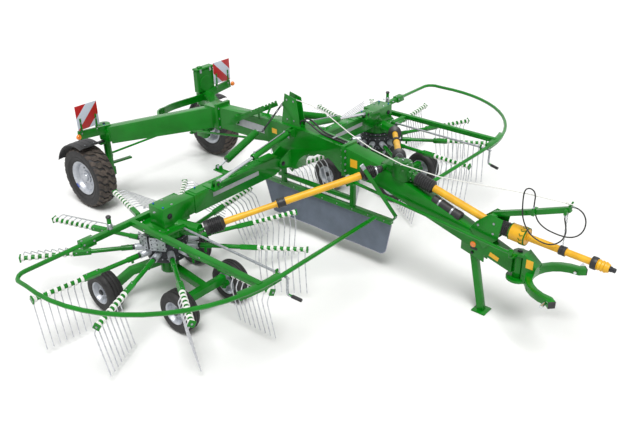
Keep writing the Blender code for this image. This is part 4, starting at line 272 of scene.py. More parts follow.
def make_board_finish():
    """Reflective film in red and white bands at 45 degrees, red at the outer top corner."""
    material = surface("film_reflective_striped", "#B01014", "#B01014", 50 * MILLIMETRE, 2 * MILLIMETRE,
                       0.02 * MILLIMETRE, 0.32)
    tree = material.node_tree
    shader = tree.nodes["Principled BSDF"]
    place = add(tree, "ShaderNodeTexCoord").outputs["Object"]
    parts = add(tree, "ShaderNodeSeparateXYZ", {"Vector": place}).outputs
    outward = add(tree, "ShaderNodeMath", {0: parts["X"]}, operation="ABSOLUTE").outputs[0]
    sloped = add(tree, "ShaderNodeMath", {0: outward, 1: parts["Z"]}, operation="ADD").outputs[0]
    corner = BOARD_X + BOARD_SIDE / 2 + BOARD_LOW + BOARD_SIDE
    down = add(tree, "ShaderNodeMath", {0: corner, 1: sloped}, operation="SUBTRACT").outputs[0]
    pair_width = 2 * 2 * BOARD_SIDE / BOARD_BANDS
    count = add(tree, "ShaderNodeMath", {0: down, 1: pair_width}, operation="DIVIDE").outputs[0]
    share = add(tree, "ShaderNodeMath", {0: count}, operation="FRACT").outputs[0]
    cells = add(tree, "ShaderNodeTexVoronoi", {"Vector": place, "Scale": 1 / FILM_CELL})
    red = two_tones(tree, cells.outputs["Distance"], 0.0, 0.8, "#C4121A", "#A80D12")
    white = two_tones(tree, cells.outputs["Distance"], 0.0, 0.8, "#D5DAE6", "#BFC5D4")
    is_white = add(tree, "ShaderNodeMath", {0: share, 1: 0.5}, operation="GREATER_THAN").outputs[0]
    mixed = add(tree, "ShaderNodeMix", {"Factor": is_white}, data_type="RGBA")
    tree.links.new(red, mixed.inputs[MIX_FIRST_COLOUR])
    tree.links.new(white, mixed.inputs[MIX_SECOND_COLOUR])
    tree.links.new(mixed.outputs[MIX_RESULT_COLOUR], shader.inputs["Base Color"])
    return material


STRIPES = make_board_finish()
print("width of a band in millimetres:", round(BOARD_SIDE / BOARD_BANDS / MILLIMETRE, 1), "across the board")

# %% [markdown]
# ## Coated cloth
#
# The swath curtain is woven fabric with a coat of plastic: a dull grey-blue cloth with soft creases. Two
# crossed waves make its weave and a broad noise makes its creases. Both only bend the light, since the
# coat evens out the colour of the threads.

# %% Coated cloth
# The real threads lie about a millimetre apart. That is too fine to show, so they are drawn 12 mm apart.
THREAD_PITCH = 12 * MILLIMETRE
CREASE_WIDTH = 120 * MILLIMETRE


def make_cloth_finish():
    """Coated fabric with a plain weave and soft creases."""
    material = surface("curtain_cloth_coated", "#66707F", "#5B6573", 160 * MILLIMETRE, 3 * MILLIMETRE,
                       0.1 * MILLIMETRE, 0.62)
    tree = material.node_tree
    shader = tree.nodes["Principled BSDF"]
    place = add(tree, "ShaderNodeTexCoord").outputs["Object"]
    waves = {"Vector": place, "Scale": 1 / THREAD_PITCH, "Distortion": 0.4}
    threads = []
    for axis in ("Y", "Z"):
        threads.append(add(tree, "ShaderNodeTexWave", waves, bands_direction=axis).outputs["Fac"])
    weave = add(tree, "ShaderNodeMath", {0: threads[0], 1: threads[1]}, operation="MULTIPLY").outputs[0]
    creases = add(tree, "ShaderNodeTexNoise", {"Vector": place, "Scale": 1 / CREASE_WIDTH, "Detail": 3.0})
    fine = add(tree, "ShaderNodeBump", {"Height": weave, "Distance": 0.3 * MILLIMETRE, "Strength": 0.5})
    broad = add(tree, "ShaderNodeBump", {"Height": creases.outputs["Fac"], "Distance": 20 * MILLIMETRE,
                                         "Strength": 0.4, "Normal": fine.outputs["Normal"]})
    tree.links.new(broad.outputs["Normal"], shader.inputs["Normal"])
    return material


CLOTH = make_cloth_finish()
print("cloth:", CLOTH.name)

# %% [markdown]
# ## Points and places
#
# All sizes are metres in one shared space. The right side is modelled and the left side is its mirror
# image, so one function measures x outward from the middle. Points on circles come from a radius and an
# angle, and a matrix lays a part's own +Z axis along any line.

# %% Points and places
UP = Vector((0, 0, 1))


def out(x, y, z):
    """A point on the right side, with x measured outward from the middle."""
    return Vector((-x, y, z))


def polar(radius, degrees):
    """A point of a circle about zero."""
    return radius * math.cos(math.radians(degrees)), radius * math.sin(math.radians(degrees))


def arc(x, y, radius, first, last, steps):
    """Points along an arc, angles in degrees."""
    turns = [first + (last - first) * i / steps for i in range(steps + 1)]
    return [(x + polar(radius, a)[0], y + polar(radius, a)[1]) for a in turns]


def frame_at(start, toward):
    """The matrix that lays +Z from start toward a point."""
    turn = (Vector(toward) - Vector(start)).to_track_quat("Z", "Y").to_matrix().to_4x4()
    return Matrix.Translation(start) @ turn


def moved(shape, matrix):
    """A shape after a change of place."""
    points, faces = shape
    return [matrix @ Vector(p) for p in points], faces


def joined(shapes):
    """Several shapes as one."""
    points, faces = [], []
    for some, around in shapes:
        base = len(points)
        points += some
        faces += [[base + i for i in face] for face in around]
    return points, faces


print("one metre out on the right side:", tuple(out(1, 0, 0)))

# %% [markdown]
# ## Tubes and turned shapes
#
# Most of a rake is bar, tube or a turned part. Ready-made cylinders could be bent and joined, but one skin
# over rings of points makes all of them: rings along a path for a bar or a hose, rings about an axis for a
# turned part. It keeps every size exact and needs no modifier.

# %% Tubes and turned shapes
EDGE = 0.003
TINY = 1e-6


def skin(rings, ends=True, loop=False):
    """Faces between rings of points, with the two ends closed."""
    count = len(rings[0])
    points = [p for ring in rings for p in ring]
    faces = []
    steps = len(rings) if loop else len(rings) - 1
    for i in range(steps):
        a, b = i * count, (i + 1) % len(rings) * count
        faces += [[a + j, a + (j + 1) % count, b + (j + 1) % count, b + j] for j in range(count)]
    if ends and not loop:
        faces += [list(range(count)), list(range(len(points) - count, len(points)))]
    return points, faces


def tube(points, radius, sides=8, loop=False):
    """A round bar along points; radius may be one value or one for each point."""
    points = [Vector(p) for p in points]
    radii = radius if isinstance(radius, (list, tuple)) else [radius] * len(points)
    last = len(points) - 1
    rings = []
    side = None
    for i, point in enumerate(points):
        ahead = points[(i + 1) % len(points)] - point if loop or i < last else point - points[i - 1]
        behind = point - points[i - 1] if loop or i else ahead
        along = (ahead.normalized() + behind.normalized()).normalized()
        if side is None:
            side = along.orthogonal()
        side = (side - along * side.dot(along)).normalized()
        over = along.cross(side)
        corners = [polar(1, 360 * j / sides) for j in range(sides)]
        rings.append([point + radii[i] * (side * a + over * b) for a, b in corners])
    return skin(rings, loop=loop)


def lathe(rows, start, toward, sides=32):
    """A turned shape: rows are radius and distance from start toward a point."""
    place = frame_at(start, toward)
    points, faces, rings = [], [], []
    for radius, along in rows:
        if radius < TINY:
            rings.append([len(points)])
            points.append(Vector((0, 0, along)))
        else:
            rings.append(list(range(len(points), len(points) + sides)))
            points += [Vector((*polar(radius, 360 * j / sides), along)) for j in range(sides)]
    for one, two in zip(rings, rings[1:]):
        for j in range(sides):
            k = j + 1
            corners = [one[j % len(one)], one[k % len(one)], two[k % len(two)], two[j % len(two)]]
            face = list(dict.fromkeys(corners))
            if len(face) > 2:
                faces.append(face)
    if rows[0] != rows[-1]:
        faces += [ring for ring in (rings[0], rings[-1]) if len(ring) > 2]
    else:
        last = {b: a for a, b in zip(rings[0], rings[-1])}
        faces = [[last.get(i, i) for i in face] for face in faces]
    return [place @ p for p in points], faces


def rod(start, end, radius, end_radius=None, sides=24, edge=EDGE):
    """A round bar or cone between two points, with broken edges."""
    length = (Vector(end) - Vector(start)).length
    last = radius if end_radius is None else end_radius
    edge = min(edge, length / 3, radius / 3, last / 3)
    rows = [(0, 0), (radius - edge, 0), (radius, edge),
            (last, length - edge), (last - edge, length), (0, length)]
    return lathe(rows, start, end, sides)


print("faces of a round bar:", len(rod((0, 0, 0), UP, EDGE)[1]))

# %% [markdown]
# ## Boxes, beams and plates
#
# Plate and square bar never have a perfectly sharp edge, and the little that is broken off catches the
# light. A plain cube would look like folded paper, so a box here has its chamfer built in: three points at
# every corner.

# %% Boxes, beams and plates
def slab(size, middle=(0, 0, 0), turn=None, edge=EDGE):
    """A box with chamfered edges."""
    half = [s / 2 for s in size]
    edge = min(edge, *(h / 2 for h in half))
    corners = [(a, b, c) for a in (-1, 1) for b in (-1, 1) for c in (-1, 1)]
    index, points = {}, []
    for corner in corners:
        for axis in range(3):
            index[corner, axis] = len(points)
            reach = [h if k == axis else h - edge for k, h in enumerate(half)]
            points.append(Vector([s * r for s, r in zip(corner, reach)]))
    faces = [[index[c, 0], index[c, 1], index[c, 2]] for c in corners]
    for axis in range(3):
        one, two = (k for k in range(3) if k != axis)
        for sign in (-1, 1):
            ring = []
            for a, b in ((-1, -1), (1, -1), (1, 1), (-1, 1)):
                corner = [0, 0, 0]
                corner[axis], corner[one], corner[two] = sign, a, b
                ring.append(index[tuple(corner), axis])
            faces.append(ring)
        for a in (-1, 1):
            for b in (-1, 1):
                first, last = [0, 0, 0], [0, 0, 0]
                for corner, sign in ((first, -1), (last, 1)):
                    corner[axis], corner[one], corner[two] = sign, a, b
                first, last = tuple(first), tuple(last)
                faces.append([index[first, one], index[first, two], index[last, two], index[last, one]])
    place = Matrix.Translation(middle) @ (turn.to_4x4() if turn is not None else Matrix.Identity(4))
    return [place @ p for p in points], faces


def beam(start, end, width, height, edge=EDGE):
    """A box beam between two points, its width level."""
    along = (Vector(end) - Vector(start)).normalized()
    side = along.cross(Vector((0, 0, 1))).normalized()
    turn = Matrix((side, along, side.cross(along))).transposed()
    length = (Vector(end) - Vector(start)).length
    return slab((width, length, height), (Vector(start) + Vector(end)) / 2, turn, edge)


def prism(outline, thickness, middle, right, up):
    """A flat plate: outline points run along two axes from middle, thick both ways."""
    right, up = Vector(right).normalized(), Vector(up).normalized()
    over = right.cross(up)
    rings = []
    for side in (-0.5, 0.5):
        rings.append([Vector(middle) + right * a + up * b + over * thickness * side for a, b in outline])
    return skin(rings)


print("faces of a chamfered box:", len(slab((1, 1, 1))[1]))

# %% [markdown]
# ## Bolts, caps, coils and chains
#
# Hexagon bolts hold the frame together, springs are round wire on a helix, and a chain is a row of bent
# links, each a quarter turn from the next. They repeat all over the machine, so each is a function that
# takes its size.

# %% Bolts, caps, coils and chains
# Columns: radius and height, as shares of the thread's diameter.
BOLT_HEAD_SHARES = ((0, 0), (0.95, 0), (0.95, 0.55), (0.80, 0.70), (0, 0.70))
WASHER_SHARES = ((0, 0), (1.25, 0), (1.25, 0.18), (0, 0.18))
CAP_DOME = 0.002


def bolt(spot, toward, size=0.012, washer=True):
    """Hexagon bolt head on its washer, standing on spot and pointing toward a direction."""
    spot, toward = Vector(spot), Vector(toward).normalized()
    head = lathe([(size * a, size * b) for a, b in BOLT_HEAD_SHARES], spot, spot + toward, 6)
    if not washer:
        return head
    disc = lathe([(size * a, size * b) for a, b in WASHER_SHARES], spot, spot + toward, 14)
    return joined([head, disc])


def grease_cap(spot, radius=0.006, height=0.012):
    """A moulded cap on a grease nipple, standing on spot."""
    rows = [(0, 0), (radius, 0), (radius, height), (0, height + CAP_DOME)]
    return lathe(rows, spot, Vector(spot) + UP, 10)


def helix(start, end, radius, wire, turns, sides=6, steps=14):
    """A coil of round wire from start to end."""
    place = frame_at(start, end)
    length = (Vector(end) - Vector(start)).length
    count = int(turns * steps)
    points = []
    for i in range(count + 1):
        a, b = polar(radius, 360 * turns * i / count)
        points.append(place @ Vector((a, b, length * i / count)))
    return tube(points, wire, sides)


def chain(start, end, wire=0.005, length=0.042, width=0.026):
    """Welded links in a straight row, each turned a quarter to the next."""
    start, end = Vector(start), Vector(end)
    place = frame_at(start, end)
    reach = (end - start).length
    pitch = length - 2 * wire
    count = max(2, round(reach / pitch))
    step = reach / count
    links = []
    for i in range(count):
        ring = []
        for centre, first in ((step / 2 - width / 2 + wire, 0), (-step / 2 + width / 2 - wire, 180)):
            ring += [(a, centre + b) for a, b in arc(0, 0, width / 2 - wire, first, first + 180, 6)]
        points = [Vector((a, 0, b + step * (i + 0.5))) if i % 2 else Vector((0, a, b + step * (i + 0.5)))
                  for a, b in ring]
        links.append(tube([place @ p for p in points], wire, 6, loop=True))
    return joined(links)


def smooth(points, steps=8):
    """Points along a curve that passes through all the given ones."""
    points = [Vector(p) for p in points]
    made = []
    for i in range(len(points) - 1):
        before = points[i - 1] if i else points[0] * 2 - points[1]
        after = points[i + 2] if i + 2 < len(points) else points[-1] * 2 - points[-2]
        one, two = points[i], points[i + 1]
        square = 2 * before - 5 * one + 4 * two - after
        cube = 3 * one - before - 3 * two + after
        for k in range(steps):
            t = k / steps
            made.append(0.5 * (2 * one + (two - before) * t + square * t ** 2 + cube * t ** 3))
    return made + [points[-1]]


print("faces of a bolt on its washer:", len(bolt((0, 0, 0), UP)[1]))

# %% [markdown]
# ## Solids taken over
#
# The welded parts already have the right shape in the frame, but as triangles with razor edges. Their flat
# faces are made whole first, so that the bevel rounds only the real edges, as a grinder and a coat of
# enamel do.

# %% Solids taken over
SHARP = math.radians(32)


def solid(node, edge=EDGE):
    """A CAD solid with its flat faces made whole and its edges rounded."""
    shape = bmesh.new()
    shape.from_mesh(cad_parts[node].data)
    bmesh.ops.remove_doubles(shape, verts=shape.verts, dist=TINY)
    bmesh.ops.dissolve_limit(shape, angle_limit=math.radians(1), verts=shape.verts, edges=shape.edges)
    mesh = bpy.data.meshes.new("solid")
    shape.to_mesh(mesh)
    shape.free()
    thing = bpy.data.objects.new("solid", mesh)
    bpy.context.scene.collection.objects.link(thing)
    if edge:
        change = thing.modifiers.new("edge", "BEVEL")
        change.width = edge
        change.segments = 2
        change.limit_method = "ANGLE"
        change.angle_limit = SHARP
    bpy.context.view_layer.update()
    result = bpy.data.meshes.new_from_object(thing.evaluated_get(bpy.context.evaluated_depsgraph_get()))
    bpy.data.objects.remove(thing, do_unlink=True)
    return [v.co.copy() for v in result.vertices], [list(f.vertices) for f in result.polygons]

# %% [markdown]
# ## Pieces
#
# What moves as one, such as a wheel with its bolts, becomes one mesh with several finishes that rides on
# one body. Separate objects would work too, but then every bolt would need its own body. A piece of the
# right side also makes its mirror image for the left side, and each prints its name when it is made.

# %% Pieces
class Piece:
    """One visual piece: shapes with their finishes, gathered into one mesh that rides on a body."""

    def __init__(self, name, body, replaces=()):
        self.name, self.body, self.stands_for = name, body, list(replaces)
        self.points, self.faces, self.marks, self.finishes = [], [], [], []

    def put(self, finish, *shapes):
        """Add shapes of one finish."""
        if finish not in self.finishes:
            self.finishes.append(finish)
        mark = self.finishes.index(finish)
        for points, faces in shapes:
            base = len(self.points)
            self.points += points
            self.faces += [[base + i for i in face] for face in faces]
            self.marks += [mark] * len(faces)
        return self

    def link(self, name, body, stands_for, mirrored):
        """The mesh object, on its body."""
        mesh = bpy.data.meshes.new(name)
        sign = -1 if mirrored else 1
        mesh.from_pydata([(sign * p[0], p[1], p[2]) for p in self.points], [], self.faces)
        for finish in self.finishes:
            mesh.materials.append(finish)
        mesh.polygons.foreach_set("material_index", self.marks)
        shape = bmesh.new()
        shape.from_mesh(mesh)
        bmesh.ops.recalc_face_normals(shape, faces=shape.faces)
        shape.to_mesh(mesh)
        shape.free()
        mesh.shade_smooth()
        mesh.set_sharp_from_angle(angle=SHARP)
        thing = bpy.data.objects.new(name, mesh)
        bpy.context.scene.collection.objects.link(thing)
        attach(thing, body)
        if stands_for:
            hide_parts(*stands_for)
        print(name, "on", body, "with", len(mesh.polygons), "faces")
        return thing

    def make(self):
        """Build the piece, and its mirror image if it belongs to the right side."""
        made = [self.link(self.name, self.body, self.stands_for, False)]
        if self.name.startswith("right_"):
            others = [swap(node) for node in self.stands_for]
            made.append(self.link(swap(self.name), swap(self.body), others, True))
        return made


def swap(name):
    """The left side's name for a right side's one."""
    return name.replace("right_", "left_", 1)


print("the mirror image of right_boom is", swap("right_boom"))

# %% [markdown]
# ## Cords
#
# Two hydraulic hoses hang in loops from the arm over the drawbar. Each leaves a clamp and goes back into
# one. A hose could be a skin like the other bars. It is a curve with a round bevel instead, since its
# route is a short list of given points, and its thickness is one value.

# %% Cords
HOSE_DIAMETER = 0.012
HOSE_X = 0.05
# Columns: y and z, in the plane of each hose.
HOSE_ONE = ((-2.430, 1.2300), (-2.430, 1.262), (-2.430, 1.30), (-2.430, 1.345), (-2.415, 1.385),
            (-2.380, 1.401), (-2.345, 1.385), (-2.330, 1.345), (-2.328, 1.28), (-2.333, 1.20),
            (-2.346, 1.12), (-2.380, 1.045), (-2.435, 0.985), (-2.510, 0.953), (-2.589, 0.948),
            (-2.655, 0.975), (-2.705, 1.03), (-2.727, 1.10), (-2.718, 1.165), (-2.704, 1.215),
            (-2.700, 1.24), (-2.700, 1.2617))
HOSE_TWO = ((-2.410, 1.1497), (-2.411, 1.13), (-2.420, 1.105), (-2.442, 1.072), (-2.480, 1.043),
            (-2.530, 1.022), (-2.590, 1.012), (-2.650, 1.008), (-2.710, 1.014), (-2.765, 1.036),
            (-2.808, 1.075), (-2.833, 1.125), (-2.841, 1.18), (-2.832, 1.23), (-2.805, 1.272),
            (-2.765, 1.295), (-2.735, 1.2995), (-2.7123, 1.300))
HOSE_ONE_LENGTH = 1.218
HOSE_TWO_LENGTH = 0.801
# Columns: radius and distance from the hose's end.
FERRULE_ROWS = ((0.0062, 0), (0.0085, 0.001), (0.0085, 0.020), (0.0072, 0.022), (0.0062, 0.022))


def make_hose(name, node, side, route, length):
    """One hose as a round curve through its route, with crimped ferrules at both ends."""
    points = smooth([(side * HOSE_X, y, z) for y, z in route], 4)
    data = bpy.data.curves.new(name, "CURVE")
    data.dimensions = "3D"
    data.bevel_depth = HOSE_DIAMETER / 2
    data.bevel_resolution = 4
    data.use_fill_caps = True
    data.materials.append(LOOK["hose_rubber"])
    spline = data.splines.new("POLY")
    spline.points.add(len(points) - 1)
    for spot, point in zip(spline.points, points):
        spot.co = (*point, 1)
    hose = bpy.data.objects.new(name, data)
    bpy.context.scene.collection.objects.link(hose)
    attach(hose, "frame")
    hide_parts(node)
    ends = Piece(name + "_ferrules", "frame")
    for one, two in ((points[0], points[3]), (points[-1], points[-4])):
        along = (two - one).normalized()
        ends.put(ZINC, lathe(FERRULE_ROWS, one, one + along, 16))
    ends.make()
    print(name, "is", length, "m long")


make_hose("hose_loop_one", "hose_one", -1, HOSE_ONE, HOSE_ONE_LENGTH)
make_hose("hose_loop_two", "hose_two", 1, HOSE_TWO, HOSE_TWO_LENGTH)

# %% [markdown]
# ## Drawbar
#
# The frame is cut and welded from square tube and plate and then sprayed. It could be modelled again, but
# its solids already have the right shape, so each is taken over with rounded edges. What a fitter adds
# comes on top: here the bolts of the flange, the pin of the parking leg, a side lamp and films.

# %% Drawbar
FILM = 0.001
FILM_EDGE = 0.0003
FLANGE_Y = -0.44
FLANGE_ROWS = (1.02, 1.09, 1.16, 1.23)


def make_front_beam():
    """Tapered drawbar with its bolted flange, leg pin, side lamp and blank films."""
    piece = Piece("drawbar", "frame", ["front_beam"]).put(GREEN, solid("front_beam"))
    for z in FLANGE_ROWS:
        for x in (-0.088, 0.088):
            piece.put(ZINC, bolt((x, FLANGE_Y - 0.0204, z), (0, -1, 0), 0.011),
                      bolt((x, FLANGE_Y + 0.020, z), (0, 1, 0), 0.011))
    for side in (-1, 1):
        piece.put(FILM_YELLOW, slab((FILM, 0.085, 0.085), (side * 0.0805, -0.56, 1.12), edge=FILM_EDGE))
    for side in (1, -1):
        piece.put(PHOSPHATE, bolt((side * 0.042, -1.90, 0.60), (side, 0, 0), 0.012))
    lamp = [(0, 0), (0.028, 0), (0.028, 0.006), (0.022, 0.012), (0, 0.013)]
    piece.put(LENS, lathe(lamp, (-0.0615, -1.914, 0.703), (-1, -1.914, 0.703), 24))
    piece.put(PHOSPHATE, slab((0.003, 0.070, 0.020), (-0.0630, -1.925, 0.664), edge=0.001))
    tilt = Matrix.Rotation(math.radians(18), 3, "X")
    piece.put(FILM_YELLOW, slab((FILM, 0.095, 0.042), (-0.0595, -2.127, 0.650), tilt, FILM_EDGE))
    piece.make()


make_front_beam()

# %% [markdown]
# ## Backbone
#
# The backbone is one long square tube with the tower for the lift cylinders and with notched racks. Two
# oil lines lie on its top plate in front of the tower, under a steel clip. Its solid is taken over in the
# same way, and each line is a bar along a few points.

# %% Backbone
JUNCTION_Y = 1.38
# Route of one oil line. Columns: x outward, y, z.
OIL_LINE = ((0.020, -0.420, 1.272), (0.020, -0.300, 1.283), (0.020, -0.200, 1.292), (0.022, -0.120, 1.302),
            (0.026, -0.040, 1.330), (0.030, 0.040, 1.374), (0.032, 0.110, 1.392), (0.032, 0.160, 1.376),
            (0.032, 0.178, 1.335))


def make_centre_frame():
    """Backbone with tower and notched racks, oil lines along its top, and blank films on its sides."""
    piece = Piece("backbone", "frame", ["centre_frame"]).put(GREEN, solid("centre_frame"))
    for side in (-1, 1):
        piece.put(FILM_GREY, slab((FILM, 0.44, 0.085), (side * 0.0705, 0.88, 1.17), edge=FILM_EDGE))
        piece.put(FILM_YELLOW, slab((FILM, 0.07, 0.055), (side * 0.0805, 0.50, 1.20), edge=FILM_EDGE))
        for y, z in ((0.25, 1.57), (0.34, 1.57), (0.25, 1.36), (0.34, 1.36)):
            piece.put(ZINC, bolt((side * 0.045, y, z), (side, 0, 0), 0.008))
        for y, z in ((0.30, 1.18), (0.36, 0.93)):
            piece.put(ZINC, bolt((side * 0.08, y, z), (side, 0, 0), 0.010))
        lines = [(side * x, y, z) for x, y, z in OIL_LINE]
        piece.put(LOOK["hose_rubber"], tube(smooth(lines, 5), 0.009, 10))
        piece.put(ZINC, rod((side * 0.020, -0.436, 1.271), (side * 0.020, -0.405, 1.274), 0.011, sides=6))
    piece.put(ZINC, slab((0.075, 0.022, 0.004), (0, -0.260, 1.2985), edge=0.001))
    for x in (-0.075, 0.075):
        for z in (1.03, 1.13, 1.25):
            piece.put(ZINC, bolt((x, JUNCTION_Y - 0.020, z), (0, -1, 0), 0.010),
                      bolt((x, JUNCTION_Y + 0.0203, z), (0, 1, 0), 0.010))
    piece.make()


make_centre_frame()

# %% [markdown]
# ## V frame
#
# Two arms spread from the backbone to the kingpins of the rear wheels. The pins' bolts, the grease caps
# beside them and the lamps under the boards are the same on both sides, so a loop over the two signs of x
# sets them.

# %% V frame
def make_rear_frame():
    """V frame with kingpin sockets, a grease cap on each socket, bracket bolts and lamps."""
    piece = Piece("v_frame", "frame", ["rear_frame"]).put(GREEN, solid("rear_frame"))
    lamp = [(0, 0), (0.030, 0), (0.030, 0.012), (0.024, 0.022), (0, 0.024)]
    for side in (-1, 1):
        piece.put(PHOSPHATE, bolt((side * 0.76, 2.62, 0.98), (0, 0, 1), 0.016))
        piece.put(CAP_BLUE, grease_cap((side * 0.79, 2.57, 0.98)))
        for x in (0.93, 1.13):
            for z in (1.00, 1.12):
                piece.put(ZINC, bolt((side * x, 2.504, z), (0, -1, 0), 0.007))
        piece.put(LENS, lathe(lamp, (side * 1.19, 2.49, 0.98), (side * 1.19, 2.40, 0.98), 24))
    piece.make()


make_rear_frame()

# %% [markdown]
# ## Warning boards
#
# Each board is sheet steel under film. Its solid has the right outline, so it needs only a fine edge, and
# two straps with their bolts hold it to the V frame.

# %% Warning boards
BOARD_FACE = BOARD_Y + 0.010


def make_boards():
    """Warning boards on their brackets."""
    board = Piece("right_warning_board", "frame", ["right_board"]).put(STRIPES, solid("right_board", 0.0008))
    for x in (BOARD_X - 0.10, BOARD_X + 0.10):
        board.put(GREEN, slab((0.022, 0.006, 0.150), out(x, BOARD_FACE - 0.0035, 1.105), edge=0.002))
        board.put(ZINC, bolt(out(x, BOARD_FACE - 0.0070, 1.13), (0, -1, 0), 0.006))
    board.make()


make_boards()

# %% [markdown]
# ## Links, leg and rail
#
# The tow head, the parking leg, the steering links and the curtain's rail are welded or forged parts of
# one finish. Nothing but their own solids is needed, so a table names them, and four of them also get
# their bolts, buffers, caps or a chain from a function of their own.

# %% Links, leg and rail
def dress_tow_head(piece):
    """Kingpin bolts, a blank film, link pins and rubber buffers of the tow head."""
    for z, way in ((0.76, 1), (0.484, -1)):
        piece.put(PHOSPHATE, bolt((0, -2.34, z), (0, 0, way), 0.020))
    piece.put(FILM_YELLOW, slab((FILM, 0.065, 0.085), (-0.0608, -2.465, 0.700), edge=FILM_EDGE))
    for side in (-1, 1):
        piece.put(CHROME, rod((side * 0.24, -2.755, 0.585), (side * 0.42, -2.755, 0.585), 0.0145))
        tip = Vector((side * 0.335, -2.810, 0.585))
        ahead = Vector((side * 0.66, -0.75, 0))
        turn = frame_at(tip, tip + ahead).to_3x3()
        piece.put(BLACK, slab((0.064, 0.064, 0.010), tip + ahead * 0.004, turn, 0.003))


def dress_curtain_rail(piece):
    """Row of bolts that clamp the curtain to its rail."""
    for i in range(9):
        piece.put(ZINC, bolt((-0.0255, -0.90 + 0.2 * i, 0.58), (-1, 0, 0), 0.006))


def dress_bearing_bracket(piece):
    """Bolts, grease cap and hanging chain of the bracket that holds the shaft bearing and the hose arm."""
    for side in (-1, 1):
        for y, z in ((-1.95, 0.92), (-2.10, 0.98), (-2.10, 0.88)):
            piece.put(ZINC, bolt((side * 0.072, y, z), (side, 0, 0), 0.009))
    piece.put(CAP_BLUE, grease_cap((0, -2.08, 1.055)))
    piece.put(ZINC, chain((0, -2.702, 1.27), (0, -2.702, 0.95), 0.0022, 0.024, 0.014))


def dress_knuckle(piece):
    """Bolt of the track rod's eye."""
    piece.put(ZINC, bolt(out(0.60, 2.82, 0.50), (0, 0, 1), 0.009))


# Columns: piece, its solid, its body, and the function that adds its small parts.
PLAIN_PARTS = (
    ("tow_head", "headstock", "headstock", dress_tow_head),
    ("parking_leg", "stand", "stand", None),
    ("steering_push_rod", "steering_rod", "steering_rod", None),
    ("steering_drag_link", "drag_link", "drag_link", None),
    ("steering_track_rod", "track_rod", "track_rod", None),
    ("right_steering_knuckle", "right_knuckle", "right_knuckle", dress_knuckle),
    ("right_undercarriage", "right_bogie", "right_head", None),
    ("curtain_rail", "curtain_frame", "frame", dress_curtain_rail),
    ("bearing_bracket", "shaft_bracket", "frame", dress_bearing_bracket),
)
for part, node, body, dress in PLAIN_PARTS:
    plain = Piece(part, body, [node]).put(GREEN, solid(node))
    if dress:
        dress(plain)
    plain.make()

# %% [markdown]
# ## Booms
#
# Each rotor hangs from a square boom that folds up at the backbone. Its solid is taken over, and a
# stiffening plate with a round nose, films, pins and guide bolts lie on its faces, measured from the
# boom's top and middle.

# %% Booms
BOOM_TOP = 1.025
BOOM_Y = 0.36


def make_booms():
    """Boom with its stiffening plate, blank film, pins and guide bolts."""
    boom = Piece("right_boom_tube", "right_boom", ["right_boom"]).put(GREEN, solid("right_boom"))
    nose = [(-a, b) for a, b in arc(0.40, 0, 0.062, -90, 90, 10)]
    pad = [*nose, (-0.26, 0.062), (-0.26, -0.062)]
    boom.put(GREEN, prism(pad, 0.006, (0, BOOM_Y, BOOM_TOP + 0.003), (1, 0, 0), (0, 1, 0)))
    boom.put(GREEN, slab((0.34, 0.120, 0.006), out(1.20, BOOM_Y, BOOM_TOP + 0.003), edge=0.002))
    boom.put(FILM_GREY, slab((0.62, FILM, 0.045), out(0.86, BOOM_Y - 0.0703, 0.945), edge=FILM_EDGE))
    for x in (0.62, 0.72, 0.84, 0.94):
        boom.put(ZINC, bolt(out(x, BOOM_Y + (0.03 if x < 0.8 else -0.03), BOOM_TOP), (0, 0, 1), 0.007))
    for x, y, z in ((1.17, 0.205, 1.08), (0.87, 0.551, 1.06)):
        boom.put(PHOSPHATE, bolt(out(x, y, z), (0, -1 if y < BOOM_Y else 1, 0), 0.012))
    boom.put(CAP_BLUE, grease_cap(out(1.30, 0.40, BOOM_TOP + 0.006), 0.007))
    for y, way in ((0.277, -1), (0.443, 1)):
        boom.put(PHOSPHATE, bolt(out(0.20, y, 0.93), (0, way, 0), 0.020))
    boom.make()


make_booms()

# %% [markdown]
# ## Guards
#
# Square beams and a bent hoop run round the rotor and keep everything off the tines. A crank with a rubber
# grip reaches from the hub past the front beam. Its bends are soft, so it is a bar along a smooth curve
# through a few points.

# %% Guards
HUB_X = 1.66
HUB_Y = 0.44


def make_guards():
    """Square beams and bent hoop round the rotor, with the height crank and its rubber grip."""
    guard = Piece("right_rotor_guard", "right_head", ["right_guard"]).put(GREEN, solid("right_guard"))
    hub = HUB_Y - 0.26
    crank = smooth([out(HUB_X, hub, 0.8355), out(HUB_X, -0.6, 0.830), out(HUB_X, -1.08, 0.8255),
                    out(HUB_X, -1.112, 0.80), out(HUB_X, -1.112, 0.68), out(HUB_X - 0.004, -1.135, 0.6555),
                    out(HUB_X - 0.02, -1.225, 0.6455)], 6)
    guard.put(ZINC, tube(crank, 0.0115, 12))
    guard.put(BLACK, rod(out(HUB_X - 0.008, -1.15, 0.654), out(HUB_X - 0.023, -1.245, 0.6435), 0.016))
    for y in (-0.35, -0.10, 0.15, 0.40):
        guard.put(ZINC, bolt(out(1.926, y, 0.8455), (-1, 0, 0), 0.007))
    for x, y in ((2.33, 0.62), (2.43, 0.62)):
        guard.put(ZINC, bolt(out(x, y - 0.04, 0.855), (0, -1, 0), 0.008),
                  bolt(out(x, y, 0.8805), (0, 0, 1), 0.008))
    knob = [(0, 0), (0.024, 0), (0.024, 0.012), (0.018, 0.018), (0, 0.018)]
    guard.put(BLACK, lathe(knob, out(2.13, 0.62, 0.988), out(2.13, 0.62, 2), 16))
    guard.put(ZINC, rod(out(2.13, 0.62, 0.872), out(2.13, 0.62, 0.93), 0.026, 0.024))
    guard.make()


make_guards()

# %% [markdown]
# ## Rotor heads
#
# The head slides on the boom and carries the cam housing, a round casting closed by a ring of bolts. The
# casting is taken over. The rings of bolts are a loop over angles, and the sector plate is the area
# between two arcs.

